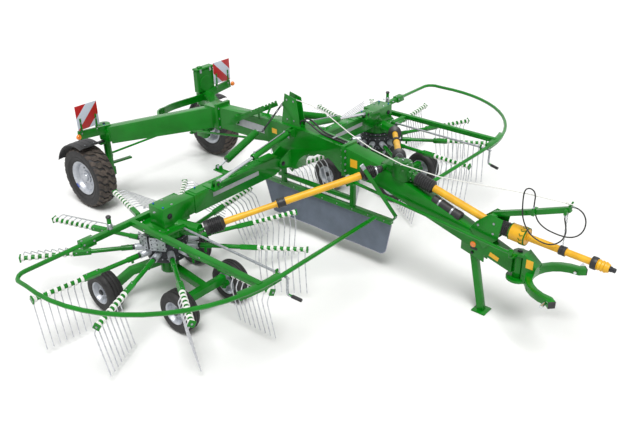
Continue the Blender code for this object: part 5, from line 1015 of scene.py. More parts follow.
# %% Rotor heads
def make_heads():
    """Telescope end, head plate and cam housing with its ring of bolts."""
    head = Piece("right_head_casting", "right_head", ["right_rotor_head"])
    head.put(GREEN, solid("right_rotor_head"))
    for i in range(16):
        x, y = polar(0.197, 360 * i / 16 + 7)
        head.put(ZINC, bolt(out(HUB_X + x, HUB_Y + y, 0.82), (0, 0, 1), 0.007))
    rim = [(0.1915, 0.0), (0.200, 0.003), (0.200, 0.030), (0.1915, 0.033), (0.1915, 0.0)]
    head.put(PHOSPHATE, lathe(rim, out(HUB_X, HUB_Y, 0.672), out(HUB_X, HUB_Y, 1), 48))
    for i in range(22):
        x, y = polar(0.2005, 360 * i / 22)
        head.put(ZINC, bolt(out(HUB_X + x, HUB_Y + y, 0.688), out(x, y, 0), 0.006, washer=False))
    sector = arc(0, 0, 0.205, 120, 205, 10) + arc(0, 0, 0.115, 205, 120, 10)
    head.put(ZINC, prism([(-a, b) for a, b in sector], 0.006, out(HUB_X, HUB_Y, 0.826), (1, 0, 0), (0, 1, 0)))
    for radius, a in ((0.19, 130), (0.19, 160), (0.19, 190), (0.13, 130), (0.13, 160), (0.13, 190)):
        x, y = polar(radius, a)
        head.put(PHOSPHATE, bolt(out(HUB_X + x, HUB_Y + y, 0.829), (0, 0, 1), 0.006))
    for y in (0.33, 0.47):
        head.put(CAP_BLUE, grease_cap(out(1.74, y, 1.0165), 0.008, 0.010))
    for x in (1.64, 1.84):
        for y in (0.33, 0.47):
            head.put(ZINC, bolt(out(x, y, 1.0165), (0, 0, 1), 0.010))
    head.put(PHOSPHATE, bolt(out(1.70, 0.2995, 0.93), (0, -1, 0), 0.022))
    head.make()


make_heads()

# %% [markdown]
# ## Rear wheels
#
# Two steered wheels carry the rear on wide tyres. A tyre is the same all round, so it is turned from the
# section of one half and its mirror image. Its lugs are not: each sweeps from the crown to the shoulder in
# a slight wave, so a lug is a skin over small rings, and a loop sets them round the tyre. The dusty finish
# is on the lugs only.

# %% Rear wheels
REAR_WHEEL = out(1.00, 2.70, 0.375)
REAR_HALF = 0.125
REAR_LUGS = 24
LUG_TOP = 0.375
LUG_WAVE = 1.6
# Columns: radius and distance from the tyre's middle, from bead to crown.
REAR_TYRE_ROWS = ((0.1895, 0.088), (0.217, 0.099), (0.240, 0.117), (0.290, 0.125), (0.330, 0.1235),
                  (0.350, 0.115), (0.358, 0.096), (0.3625, 0.050))
# Columns: radius and distance along the axle, outward.
REAR_RIM_ROWS = ((0.036, -0.060), (0.072, -0.060), (0.075, -0.054), (0.082, -0.002), (0.144, 0.013),
                 (0.172, -0.085), (0.178, -0.091), (0.203, -0.107), (0.209, -0.104), (0.209, -0.099),
                 (0.189, -0.089), (0.187, -0.060), (0.187, 0.060), (0.189, 0.089), (0.209, 0.099),
                 (0.209, 0.104), (0.203, 0.107), (0.178, 0.091), (0.172, 0.085), (0.159, 0.047),
                 (0.150, 0.042), (0.085, 0.032), (0.077, 0.036), (0.075, 0.060), (0.036, 0.060),
                 (0.036, -0.060))
HUB_CAP_ROWS = ((0, 0.058), (0.050, 0.058), (0.050, 0.066), (0.042, 0.080), (0, 0.083))


def mirrored_rows(rows):
    """A closed tyre section from the rows of one half."""
    return [(r, -x) for r, x in rows] + [(r, x) for r, x in reversed(rows)] + [(rows[0][0], -rows[0][1])]


def lug(place, start, sweep, far, width, radius, fall, depth):
    """One tread lug: it runs from the crown's middle to the shoulder at far and sweeps round as it goes."""
    rings = []
    for k in range(11):
        share = k / 10
        top = radius - fall * share ** 4
        wave = LUG_WAVE * math.sin(3 * math.pi * share)
        ring = []
        for turn, height in ((-1.15, -depth), (-1, 0), (1, 0), (1.15, -depth)):
            a, b = polar(top + height, start + sweep * share + wave + width * turn)
            ring.append(place @ Vector((a, b, far * share)))
        rings.append(ring)
    return skin(rings)


def make_rear_wheels():
    """Tyre with its lugs, rim with bolts, hub cap, valve and a small blank label, on the steered knuckle."""
    outward = REAR_WHEEL + out(1, 0, 0)
    place = frame_at(REAR_WHEEL, outward)
    wheel = Piece("right_rear_wheel_set", "right_rear_wheel", ["right_rear_tyre", "right_rear_rim"])
    wheel.put(SIDEWALL, lathe(mirrored_rows(REAR_TYRE_ROWS), REAR_WHEEL, outward, 96))
    for side in (-1, 1):
        for i in range(REAR_LUGS):
            start = 360 * (i + side / 4) / REAR_LUGS
            wheel.put(LOOK["tyre_rubber_dusty"],
                      lug(place, start, 12 * side, side * (REAR_HALF - 0.006), 4.9, LUG_TOP, 0.024, 0.016))
        for radius in (0.262, 0.305):
            ring = [(radius, 0), (radius + 0.003, 0.0015), (radius + 0.006, 0), (radius, 0)]
            rows = [(r, side * (REAR_HALF - 0.0005 + h)) for r, h in ring]
            wheel.put(SIDEWALL, lathe(rows, REAR_WHEEL, outward, 72))
    wheel.put(SILVER, lathe(REAR_RIM_ROWS, REAR_WHEEL, outward, 72))
    for i in range(6):
        a, b = polar(0.112, 60 * i)
        wheel.put(ZINC, bolt(place @ Vector((a, b, 0.036)), out(1, 0, 0), 0.010))
    wheel.put(SILVER, lathe(HUB_CAP_ROWS, REAR_WHEEL, outward, 32))
    tilt = Matrix.Rotation(math.radians(43), 3, "X")
    label = REAR_WHEEL + out(0.1070, 0.137, -0.134)
    wheel.put(CAP_BLUE, slab((0.002, 0.060, 0.018), label, tilt, 0.0005))
    valve = [place @ Vector((*polar(a, 20), b)) for a, b in ((0.168, 0.07), (0.163, 0.10))]
    wheel.put(PHOSPHATE, tube(valve, 0.004))
    wheel.make()


make_rear_wheels()

# %% [markdown]
# ## Mudguards
#
# A moulded mudguard is one thin skin, bent round the wheel, with three ribs along it and turned-down
# edges. Its section is the same all the way, so one section is worked out and set along an arc about the
# axle. It stands on two steel straps.

# %% Mudguards
def make_mudguards():
    """Black plastic mudguard, three ribs along it and turned-down edges, on its steel straps."""
    guard = Piece("right_wheel_cover", "right_knuckle", ["right_mudguard"])
    rings = []
    for i in range(25):
        angle = 20 + 87 * i / 24
        top = [(-0.128, -0.016), (-0.131, -0.003), (-0.124, 0.0)]
        for rib in (-0.065, 0.0, 0.065):
            top += [(rib - 0.012, 0.0), (rib - 0.007, 0.004), (rib + 0.007, 0.004), (rib + 0.012, 0.0)]
        top += [(0.124, 0.0), (0.131, -0.003), (0.128, -0.016)]
        under = [(x * 0.975, h - 0.004) for x, h in reversed(top[1:-1])]
        ring = []
        for x, height in top + under:
            a, b = polar(0.4285 + height, angle)
            ring.append(out(1.02 + x, 2.70 + a, 0.375 + b))
        rings.append(ring)
    guard.put(LOOK["mudguard_plastic"], skin(rings))
    guard.put(PHOSPHATE, slab((0.140, 0.045, 0.008), out(0.873, 2.62, 0.7795), edge=0.002))
    guard.put(PHOSPHATE, slab((0.16, 0.045, 0.006), out(0.97, 2.62, 0.7915), edge=0.002))
    for x in (0.84, 0.87):
        guard.put(ZINC, bolt(out(x, 2.62, 0.7835), (0, 0, 1), 0.006))
    for x in (0.94, 1.06):
        guard.put(ZINC, bolt(out(x, 2.61, 0.8035), (0, 0, 1), 0.006))
    guard.make()


make_mudguards()

# %% [markdown]
# ## Support wheels
#
# Four small wheels under each rotor follow the ground and hold the tines just above it. Their tyres have
# ribs that run round, so the ribs are part of the turned section. All eight wheels share the two sections.

# %% Support wheels
# Columns: name, x outward and y from the rotor's axis, side that the cap is on.
SMALL_WHEELS = (("rear_outer", 0.55, 0.30, 1), ("front_outer", 0.32, -0.50, 1),
                ("front_inner", -0.32, -0.50, -1), ("rear_inner", -0.55, 0.30, -1))
SMALL_RADIUS = 0.203
# Columns: radius and distance from the wheel's middle.
SMALL_TYRE_ROWS = ((0.1145, 0.068), (0.122, 0.076), (0.150, 0.0825), (0.172, 0.0815), (0.189, 0.072),
                   (0.1965, 0.060), (0.2005, 0.052), (0.2025, 0.048), (0.2025, 0.038), (0.1965, 0.036),
                   (0.1965, 0.030), (0.2030, 0.028), (0.2030, 0.008), (0.1965, 0.006))
SMALL_RIM_ROWS = ((0.0205, -0.050), (0.038, -0.050), (0.041, -0.026), (0.088, -0.022), (0.103, -0.064),
                  (0.1135, -0.071), (0.1135, 0.071), (0.103, 0.064), (0.088, 0.022), (0.041, 0.026),
                  (0.038, 0.050), (0.0205, 0.050), (0.0205, -0.050))
SMALL_CAP_ROWS = ((0, 0.049), (0.030, 0.049), (0.030, 0.055), (0.022, 0.064), (0, 0.066))


def make_small_wheels():
    """Ribbed tyres on silver rims, with bolts and a cap, under each rotor."""
    for name, x, y, side in SMALL_WHEELS:
        middle = out(HUB_X + x, HUB_Y + y, SMALL_RADIUS)
        outward = middle + out(side, 0, 0)
        wheel = Piece("right_support_wheel_" + name, "right_wheel_" + name, ["right_wheel_" + name])
        wheel.put(SIDEWALL, lathe(mirrored_rows(SMALL_TYRE_ROWS), middle, outward, 72))
        wheel.put(SILVER, lathe(SMALL_RIM_ROWS, middle, outward, 48))
        place = frame_at(middle, outward)
        for i in range(4):
            spot = place @ Vector((*polar(0.064, 90 * i + 20), 0.024))
            wheel.put(ZINC, bolt(spot, outward - middle, 0.008))
        wheel.put(PHOSPHATE, lathe(SMALL_CAP_ROWS, middle, outward, 24))
        wheel.make()


make_small_wheels()

# %% [markdown]
# ## Rotors
#
# Eleven arms turn about each hub. Each carries eight spring tines of bent wire, wound round the arm, and
# the cam in the hub has turned some arms up. One arm is built along +X and laid round the hub by a matrix,
# so that all eleven share one shape. A tine is a bar along a few points and its coil is a helix.

# %% Tines
ARM_Z = 0.57
ARM_COUNT = 11
FIRST_ARM = 107.8
RAISE = 66.0
# How far each arm is turned up, as a share of RAISE.
RAISED_SHARES = (1, 1, 0, 0, 0, 0, 0, 0, 0.5, 1, 1)
ARM_RADIUS = 0.021
ARM_TIP = 1.345
TINE_COUNT = 8
FIRST_TINE = 0.885
TINE_PITCH = 0.062
WIRE = 0.0055
KINK_LENGTH = 0.10
LEG_LENGTH = 0.433
KINK_DOWN = 61.0
LEG_DOWN = 101.0


def tine_wire(x):
    """Coil round the arm and bent leg of one spring tine."""
    kink, leg = (math.radians(a) for a in (KINK_DOWN, LEG_DOWN))
    first = Vector((0, math.cos(kink), -math.sin(kink)))
    second = Vector((0, math.cos(leg), -math.sin(leg)))
    root = Vector((x, 0, 0))
    bend = root + first * KINK_LENGTH
    wire = [root + first * (ARM_RADIUS + WIRE), bend - first * 0.020, bend - first * 0.006 + second * 0.004,
            bend + second * 0.018, bend + second * LEG_LENGTH]
    half = Vector((0.014, 0, 0))
    coil = helix(root - half, root + half, ARM_RADIUS + WIRE, WIRE * 0.95, 3, 5, 10)
    return tube(wire, WIRE, 6), coil

# %% [markdown]
# ## Arm
#
# A cast socket at the hub holds the tube of the arm, with a ring nut, a carrier box and an end plate. The
# carrier and the plate are turned with the tines, since all of them are welded to the same tube.

# %% Arm
# Columns: radius and distance from the rotor's axis.
SOCKET_ROWS = ((0, 0.150), (0.034, 0.150), (0.034, 0.272), (0.031, 0.278), (0.031, 0.290), (0.034, 0.292),
               (0.034, 0.300), (0, 0.300))
TUBE_ROWS = ((0, 0.295), (ARM_RADIUS, 0.295), (ARM_RADIUS, ARM_TIP - 0.003), (ARM_RADIUS - 0.003, ARM_TIP),
             (0, ARM_TIP))
NUT_ROWS = ((0, 0.305), (0.026, 0.305), (0.026, 0.322), (0, 0.322))


def rotor_arm():
    """One arm along +X: cast socket, tube with its carrier box, end plate and tines."""
    down = Vector((0, math.cos(math.radians(KINK_DOWN)), -math.sin(math.radians(KINK_DOWN))))
    turn = frame_at((0, 0, 0), down).to_3x3()
    hub, away = (0, 0, 0), (1, 0, 0)
    parts = [(SILVER, lathe(SOCKET_ROWS, hub, away, 20)),
             (GREEN, lathe(TUBE_ROWS, hub, away, 16)),
             (GREEN, slab((0.165, 0.050, 0.050), (0.785, 0, 0), turn, 0.004)),
             (GREEN, rod((0.322, 0, 0), (0.430, 0, 0), 0.0265)),
             (GREEN, slab((0.024, 0.012, 0.070), (0.372, 0.018, -0.030), edge=0.003)),
             (ZINC, bolt((0.735, 0, 0.025), (0, 0, 1), 0.007)),
             (ZINC, bolt((0.835, 0, 0.025), (0, 0, 1), 0.007)),
             (GREEN, slab((0.014, 0.060, 0.060), (1.339, 0, 0), turn, 0.002)),
             (PHOSPHATE, lathe(NUT_ROWS, hub, away, 12)),
             (ZINC, bolt((ARM_TIP + 0.001, 0, 0), (1, 0, 0), 0.008))]
    for i in range(TINE_COUNT):
        leg, coil = tine_wire(FIRST_TINE + TINE_PITCH * i)
        parts += [(LOOK["spring_wire_polished"], leg), (LOOK["coil_powder_coated"], coil)]
    return parts

# %% [markdown]
# ## Reel
#
# The drum under the cam housing and everything bolted to it turn together, so they are one mesh on one
# body. The drum is turned, two rows of bolts hold each socket, and the arms are laid round it.

# %% Reel
MIRROR = Matrix.Diagonal((1, -1, 1, 1))
# Columns: radius and height.
DRUM_ROWS = ((0.051, 0.460), (0.150, 0.460), (0.188, 0.468), (0.198, 0.482), (0.200, 0.500), (0.200, 0.535),
             (0.194, 0.539), (0.194, 0.600), (0.200, 0.604), (0.200, 0.655), (0.196, 0.6645),
             (0.051, 0.6645), (0.051, 0.460))


def make_rotors():
    """Drum with its rows of bolts and the arms, all one turning reel."""
    reel = Piece("right_tine_reel", "right_rotor", ["right_rotor"])
    centre = out(HUB_X, HUB_Y, 0)
    reel.put(PHOSPHATE, lathe(DRUM_ROWS, centre, centre + UP, 72))
    for i in range(ARM_COUNT):
        for shift in (10, 23):
            a, b = polar(1, FIRST_ARM + 360 * i / ARM_COUNT + shift)
            for z in (0.517, 0.630):
                reel.put(ZINC, bolt(centre + Vector((0.2 * a, 0.2 * b, z)), (a, b, 0), 0.007, washer=False))
    arm = rotor_arm()
    for i in range(ARM_COUNT):
        spin = Matrix.Rotation(math.radians(FIRST_ARM + 360 / ARM_COUNT * i), 4, "Z")
        raised = Matrix.Rotation(math.radians(RAISE * RAISED_SHARES[i]), 4, "X")
        place = Matrix.Translation(centre + Vector((0, 0, ARM_Z))) @ spin @ MIRROR @ raised
        for finish, shape in arm:
            reel.put(finish, moved(shape, place))
    reel.make()


make_rotors()

# %% [markdown]
# ## Cover plates
#
# Two galvanised plates stand off each head over the arm sockets, on short brackets and with rows of bolts.
# They are flat, so a box with a broken edge is enough. It is turned to face away from the rotor's axis.

# %% Cover plates
PLATE_TURNS = (8, -32)


def make_cover_plates():
    """Galvanised plates that stand off the head over the arm sockets, with rows of bolts."""
    plates = Piece("right_cover_plates", "right_head")
    centre = out(HUB_X, HUB_Y, 0)
    for turn in PLATE_TURNS:
        a, b = polar(1, 180 - turn)
        away, along = Vector((a, b, 0)), Vector((-b, a, 0))
        turned = frame_at((0, 0, 0), away).to_3x3()
        middle = centre + away * 0.243 + Vector((0, 0, 0.700))
        plates.put(ZINC, slab((0.150, 0.135, 0.008), middle, turned, 0.002),
                   slab((0.060, 0.010, 0.100), centre + away * 0.190 + Vector((0, 0, 0.748)), turned, 0.002))
        for x in (-0.055, 0.0, 0.055):
            for height in (-0.045, 0.0, 0.045):
                spot = middle + away * 0.004 + along * x + Vector((0, 0, height))
                plates.put(PHOSPHATE, bolt(spot, away, 0.007, washer=False))
    plates.make()


make_cover_plates()

# %% [markdown]
# ## Lift cylinders
#
# A hydraulic cylinder lifts each boom. It is two bodies that slide in one another: the painted barrel and
# the bright rod. Both are turned about the line between the two pins, which have named places, so that the
# eyes, the bore and the rod line up by themselves.

# %% Lift cylinders
LIFT_TOP = out(0.12, 0.24, 1.27)
LIFT_EYE = out(1.17, 0.24, 1.08)
EYE_SIDE = Vector((0, 0.02, 0))
# Columns: radius and distance from the upper pin. The last rows are the bore.
BARREL_ROWS = ((0, 0.035), (0.020, 0.035), (0.027, 0.042), (0.032, 0.048), (0.032, 0.505), (0.0345, 0.507),
               (0.0345, 0.552), (0.031, 0.560), (0.0225, 0.560), (0.0225, 0.075), (0, 0.075))


def make_lifts():
    """Painted barrel with gland and oil ports, and the bright rod in it."""
    barrel = Piece("right_cylinder_barrel", "right_lift_barrel", ["right_lift_barrel"])
    barrel.put(GREEN, lathe(BARREL_ROWS, LIFT_TOP, LIFT_EYE, 36))
    barrel.put(CAST, rod(LIFT_TOP - EYE_SIDE, LIFT_TOP + EYE_SIDE, 0.026))
    place = frame_at(LIFT_TOP, LIFT_EYE)
    up = (place.to_3x3().inverted() @ Vector((0, 0, 1))).normalized()
    for along in (0.085, 0.530):
        foot = place @ (up * 0.030 + Vector((0, 0, along)))
        barrel.put(ZINC, rod(foot, foot + Vector((0, 0, 0.022)), 0.011, sides=6))
    line = [place @ (up * 0.040 + Vector((0, 0, along))) for along in (0.53, 0.50, 0.30, 0.12, 0.09)]
    barrel.put(ZINC, tube(smooth(line, 4), 0.005, 8))
    barrel.make()
    rod_piece = Piece("right_cylinder_rod", "right_lift_rod", ["right_lift_rod"])
    along = (LIFT_EYE - LIFT_TOP).normalized()
    rod_piece.put(CHROME, rod(LIFT_TOP + along * 0.516, LIFT_EYE - along * 0.02, 0.016))
    rod_piece.put(CAST, rod(LIFT_EYE - EYE_SIDE, LIFT_EYE + EYE_SIDE, 0.024))
    rod_piece.put(ZINC, rod(LIFT_EYE - along * 0.060, LIFT_EYE - along * 0.018, 0.021, sides=6))
    rod_piece.make()


make_lifts()

# %% [markdown]
# ## Springs and chains
#
# A long coil spring, pulled by a welded chain, takes part of the rotor's weight off the ground. The coil
# is a helix between two cones, because a row of rings would not look wound. The chain's links are worked
# out from the wire, the length and the width of one link.

# %% Springs and chains
SPRING_FOOT = out(0.87, 0.52, 1.06)
SPRING_HEAD = out(0.30, 0.52, 1.27)
CHAIN_TOP = out(0.03, 0.415, 1.51)


def make_springs():
    """Green coil spring with hooked eyes, and the welded chain that pulls it."""
    spring = Piece("right_coil_spring", "right_spring", ["right_spring"])
    along = (SPRING_HEAD - SPRING_FOOT).normalized()
    first, last = SPRING_FOOT + along * 0.125, SPRING_HEAD - along * 0.035
    spring.put(GREEN, helix(first, last, 0.0340, 0.0056, 36, 6, 18))
    spring.put(ZINC, rod(SPRING_FOOT, SPRING_FOOT + along * 0.150, 0.0075),
               rod(SPRING_HEAD - along * 0.060, SPRING_HEAD, 0.010))
    spring.put(ZINC, rod(SPRING_FOOT - EYE_SIDE, SPRING_FOOT + EYE_SIDE, 0.018))
    spring.put(CAST, rod(SPRING_FOOT + along * 0.112, SPRING_FOOT + along * 0.150, 0.036, 0.030),
               rod(SPRING_HEAD - along * 0.060, SPRING_HEAD - along * 0.026, 0.030, 0.036))
    spring.put(ZINC, rod(SPRING_HEAD, SPRING_HEAD - Vector((0, 0.0455, 0)), 0.008))
    spring.make()
    links = Piece("right_pull_chain", "right_chain", ["right_chain"])
    end = SPRING_HEAD - Vector((0, 0.0578, 0))
    links.put(PHOSPHATE, chain(CHAIN_TOP, end, 0.0050, 0.050, 0.0250))
    links.make()


make_springs()

# %% [markdown]
# ## Side shafts
#
# Yellow plastic guards with black bellows run from the centre gearbox to both rotor heads. They telescope
# and swing with the rotor, so they are four bodies a side. Each is turned about the line from the joint to
# the head's input. The folds of a bellows are all alike, so a loop makes their rows.

# %% Side shafts
JOINT = out(0.165, -0.93, 1.20)
HEAD_INPUT = out(1.50, 0.06, 0.80)
SHAFT_LENGTH = (HEAD_INPUT - JOINT).length
TUBE_END = 1.02
BOOT = SHAFT_LENGTH - 0.19


def folds(start, end, count, wide, narrow):
    """Rows of a bellows between two places."""
    step = (end - start) / count
    rows = []
    for i in range(count):
        at = start + step * i
        rows += [(narrow, at + step * 0.05), (wide, at + step * 0.40), (wide, at + step * 0.55),
                 (narrow, at + step * 0.95)]
    return rows


# Columns: radius and distance from the joint.
BELLOWS_ROWS = ((0, -0.035), (0.020, -0.029), (0.032, -0.015), (0.035, 0.0), (0.036, 0.03), (0.044, 0.043),
                (0.056, 0.048), (0.056, 0.053), (0.048, 0.058), *folds(0.060, 0.168, 6, 0.068, 0.058),
                (0.050, 0.172), (0.045, 0.178), (0, 0.1845))
CLAMP_ROWS = ((0.033, 0.026), (0.041, 0.026), (0.041, 0.042), (0.033, 0.042), (0.033, 0.026))
OUTER_ROWS = ((0, 0.1865), (0.031, 0.1845), (0.036, 0.188), (0.036, 0.235), (0.033, 0.243), (0.033, 0.88),
              (0.035, 0.885), (0.035, TUBE_END), (0.028, TUBE_END), (0.028, 0.21), (0, 0.21))
COLLAR_ROWS = ((0.0357, 0.930), (0.046, 0.930), (0.0475, 0.934), (0.0475, 0.945), (0.044, 0.950),
               (0.044, 0.990), (0.0475, 0.995), (0.0475, 1.006), (0.046, 1.010), (0.0357, 1.010),
               (0.0357, 0.930))
INNER_ROWS = ((0, 0.52), (0.0272, 0.52), (0.0272, 1.320), (0.031, 1.330), (0.031, BOOT + 0.01),
              (0, BOOT + 0.01))
BOOT_ROWS = ((0.0305, BOOT), (0.040, BOOT), (0.062, BOOT + 0.02),
             *folds(BOOT + 0.022, SHAFT_LENGTH - 0.035, 7, 0.077, 0.068), (0.068, SHAFT_LENGTH - 0.03),
             (0.068, SHAFT_LENGTH), (0.057, SHAFT_LENGTH), (0.055, BOOT + 0.04), (0.0305, BOOT + 0.032),
             (0.0305, BOOT))


def side_shaft(rows, sides):
    """A turned piece on the line from the joint to the head's input."""
    return lathe(rows, JOINT, HEAD_INPUT, sides)


def make_side_shafts():
    """Four pieces a side: bellows at the joint, outer guard tube, collar, inner tube with its boot."""
    bellows = Piece("right_shaft_bellows", "right_shaft_joint", ["right_shaft_joint"])
    bellows.put(BLACK, side_shaft(BELLOWS_ROWS, 40)).put(ZINC, side_shaft(CLAMP_ROWS, 40))
    bellows.make()
    outer = Piece("right_shaft_guard", "right_shaft_tube", ["right_shaft_tube"])
    outer.put(YELLOW, side_shaft(OUTER_ROWS, 36))
    outer.make()
    collar = Piece("right_guard_collar", "right_shaft_collar", ["right_shaft_collar"])
    collar.put(BLACK, side_shaft(COLLAR_ROWS, 36))
    collar.make()
    slide = Piece("right_shaft_inner", "right_shaft_slide", ["right_shaft_slide"])
    slide.put(YELLOW, side_shaft(INNER_ROWS, 36)).put(BLACK, side_shaft(BOOT_ROWS, 40))
    slide.make()


make_side_shafts()

# %% [markdown]
# ## Centre gearbox
#
# The gearbox on the backbone turns the drive to both sides. It is a sand casting, so its edges are rounder
# than those of plate, and its round lid, bosses and flange are turned on top of its solid.

# %% Centre gearbox
GEARBOX = Vector((0, -1.08, 1.185))
BEARING = Vector((0, -2.08, 0.935))
CASTING_EDGE = 0.006


def make_gearbox():
    """Centre gearbox on the beam, with its lid, breather, bosses, flange and bolts."""
    box = Piece("centre_gear_housing", "frame", ["gearbox"]).put(CAST, solid("gearbox", CASTING_EDGE))
    for i in range(8):
        a, b = polar(0.080, 45 * i + 22)
        box.put(ZINC, bolt(GEARBOX + Vector((a, b, 0.075)), (0, 0, 1), 0.007))
    lid = [(0, 0.074), (0.058, 0.074), (0.052, 0.086), (0, 0.088)]
    box.put(CAST, lathe(lid, GEARBOX, GEARBOX + UP, 32))
    box.put(ZINC, rod(GEARBOX + Vector((0, 0, 0.086)), GEARBOX + Vector((0, 0, 0.102)), 0.010, sides=6))
    for a, b in (polar(1, 215), polar(1, 325)):
        boss = GEARBOX + Vector((a, b, -0.02)) * 0.088
        box.put(CAST, rod(boss, boss + Vector((a, b, 0)) * 0.016, 0.034, edge=0.003))
    ahead = (BEARING - GEARBOX).normalized()
    flange = GEARBOX + ahead * 0.120
    box.put(CAST, rod(flange, flange + ahead * 0.014, 0.068))
    place = frame_at(flange, BEARING)
    for i in range(6):
        box.put(ZINC, bolt(place @ Vector((*polar(0.058, 60 * i), 0.014)), ahead, 0.006))
    box.make()


make_gearbox()

# %% [markdown]
# ## Front shaft
#
# In front, the drive runs under guards to a bearing and on to the tractor. Two lines carry it, one from
# the gearbox to the bearing and one from there to the tractor, and each tube, bellows, cover and yoke is
# turned about one of them. The wire hooks that hold the clutch cover repeat round it.

# %% Front shaft
TRACTOR = Vector((0, -3.17, 0.885))
REACH = (BEARING - GEARBOX).length
# Columns: radius and distance from the gearbox.
REAR_BELLOWS_ROWS = ((0.034, 0.1705), (0.055, 0.1705), *folds(0.174, 0.360, 8, 0.064, 0.055), (0.048, 0.364),
                     (0.034, 0.3703), (0.034, 0.1705))
REAR_TUBE_ROWS = ((0, 0.34), (0.035, 0.34), (0.035, REACH), (0, REACH))
# Columns: radius and distance from the bearing.
FRONT_BELLOWS_ROWS = ((0, -0.006), (0.050, -0.004), (0.058, 0.0), *folds(0.002, 0.150, 8, 0.066, 0.058),
                      (0.052, 0.158), (0, 0.158))
CLUTCH_COVER_ROWS = ((0, 0.148), (0.066, 0.148), (0.075, 0.156), (0.077, 0.235), (0.0795, 0.300),
                     (0.070, 0.310), (0, 0.312))
FRONT_TUBE_ROWS = ((0, 0.305), (0.032, 0.305), (0.032, 0.598), (0.034, 0.600), (0.034, 0.664),
                   (0.030, 0.668), (0.030, 0.885), (0, 0.885))
SLEEVE_ROWS = ((0.033, 0.600), (0.042, 0.602), (0.042, 0.625), (0.039, 0.628), (0.039, 0.632),
               (0.042, 0.635), (0.042, 0.658), (0.033, 0.660), (0.033, 0.600))
STOP_RING_ROWS = ((0.028, 0.878), (0.053, 0.880), (0.055, 0.886), (0.055, 0.920), (0.052, 0.928),
                  (0.028, 0.930), (0.028, 0.878))
CONE_ROWS = ((0.028, 0.922), (0.050, 0.924), *folds(0.930, 1.010, 3, 0.048, 0.042), (0.036, 1.026),
             (0.030, 1.030), (0.026, 1.030), (0.026, 0.922))
YOKE_ROWS = ((0, 0.93), (0.020, 0.93), (0.024, 1.022), (0.024, 1.045), (0.020, 1.050), (0.020, 1.078),
             (0.013, 1.080), (0.013, 1.045), (0, 1.045))


def front_shaft(rows, sides):
    """A turned piece on the line from the bearing to the tractor."""
    return lathe(rows, BEARING, TRACTOR, sides)


def make_front_shaft():
    """Bellows and tube to the bearing, then the tractor shaft with its clutch cover and yoke."""
    line = Piece("front_drive_line", "frame", ["front_shaft"])
    line.put(BLACK, lathe(REAR_BELLOWS_ROWS, GEARBOX, BEARING, 40))
    line.put(YELLOW, lathe(REAR_TUBE_ROWS, GEARBOX, BEARING, 32))
    line.put(BLACK, front_shaft(FRONT_BELLOWS_ROWS, 40))
    line.put(YELLOW, front_shaft(CLUTCH_COVER_ROWS, 48))
    for at, radius in ((0.152, 0.0765), (0.296, 0.0815)):
        inner = radius - 0.004
        ring = [(inner, at), (radius, at + 0.001), (radius, at + 0.012), (inner, at + 0.013), (inner, at)]
        line.put(CAST, front_shaft(ring, 48))
    place = frame_at(BEARING, TRACTOR)
    for i in range(12):
        bends = ((0, 0.292), (8, 0.270), (-4, 0.256))
        hook = [place @ Vector((*polar(0.0795, 30 * i + a), b)) for a, b in bends]
        line.put(CAST, tube(hook, 0.004, 6))
    line.put(YELLOW, front_shaft(FRONT_TUBE_ROWS, 32))
    line.put(BLACK, front_shaft(SLEEVE_ROWS, 32), front_shaft(STOP_RING_ROWS, 40))
    line.put(YELLOW, front_shaft(CONE_ROWS, 40))
    line.put(PHOSPHATE, front_shaft(YOKE_ROWS, 24))
    line.make()


make_front_shaft()

# %% [markdown]
# ## Swath curtain
#
# A cloth hangs from its rail beside the swath and keeps it from spreading. A cloth simulation could lay
# its folds, but they are shallow and even, so two sine waves that grow toward the hem are enough. The
# outline comes from one function of y, and the skin runs down the front and up the back, which gives the
# cloth its thickness.

# %% Swath curtain
CURTAIN_FRONT = -0.98
CURTAIN_REAR = 0.76
CURTAIN_TOP = 0.555
CURTAIN_LOW = 0.17
CORNER = 0.10
SLANT_FRONT = 0.05
SLANT_REAR = 0.12
CLOTH_THICK = 0.004


def curtain_low(y):
    """Lower edge of the curtain at y: slanted front, round corner, level hem, slanted rear."""
    drop = CURTAIN_TOP - CURTAIN_LOW
    start = CURTAIN_FRONT + SLANT_FRONT
    if y < start:
        return CURTAIN_TOP - (y - CURTAIN_FRONT) / SLANT_FRONT * (drop - CORNER)
    if y < start + CORNER:
        return CURTAIN_LOW + CORNER - math.sqrt(max(0, CORNER ** 2 - (start + CORNER - y) ** 2))
    if y > CURTAIN_REAR - SLANT_REAR:
        return CURTAIN_LOW + (y - CURTAIN_REAR + SLANT_REAR) / SLANT_REAR * drop
    return CURTAIN_LOW


def curtain_x(y, z):
    """Sideways place of the cloth: shallow folds that grow toward the hem."""
    fall = (CURTAIN_TOP - z) / (CURTAIN_TOP - CURTAIN_LOW)
    return fall * (0.0045 * math.sin(9.0 * y + 0.6) + 0.0020 * math.sin(23.0 * y + 3.0 * z))


def make_curtain():
    """Woven curtain under its rail, with a bound hem."""
    cloth = Piece("swath_cloth", "frame", ["curtain"])
    length = CURTAIN_REAR - CURTAIN_FRONT
    places = [CURTAIN_FRONT + 0.004 + 0.146 * i / 16 for i in range(16)]
    places += [CURTAIN_FRONT + 0.15 + (length - 0.154) * i / 110 for i in range(111)]
    rings, hem = [], []
    for y in places:
        low = curtain_low(y)
        rows = [CURTAIN_TOP + (low - CURTAIN_TOP) * k / 10 for k in range(11)]
        front = [(curtain_x(y, z) - CLOTH_THICK / 2, y, z) for z in rows]
        back = [(curtain_x(y, z) + CLOTH_THICK / 2, y, z) for z in reversed(rows)]
        rings.append([Vector(p) for p in front + back])
        hem.append((curtain_x(y, low), y, low + 0.003))
    cloth.put(CLOTH, skin(rings))
    binding = Piece("curtain_binding", "frame").put(LOOK["binding_woven_grey"], tube(hem, 0.0035, 8))
    cloth.make()[0]
    binding.make()


make_curtain()
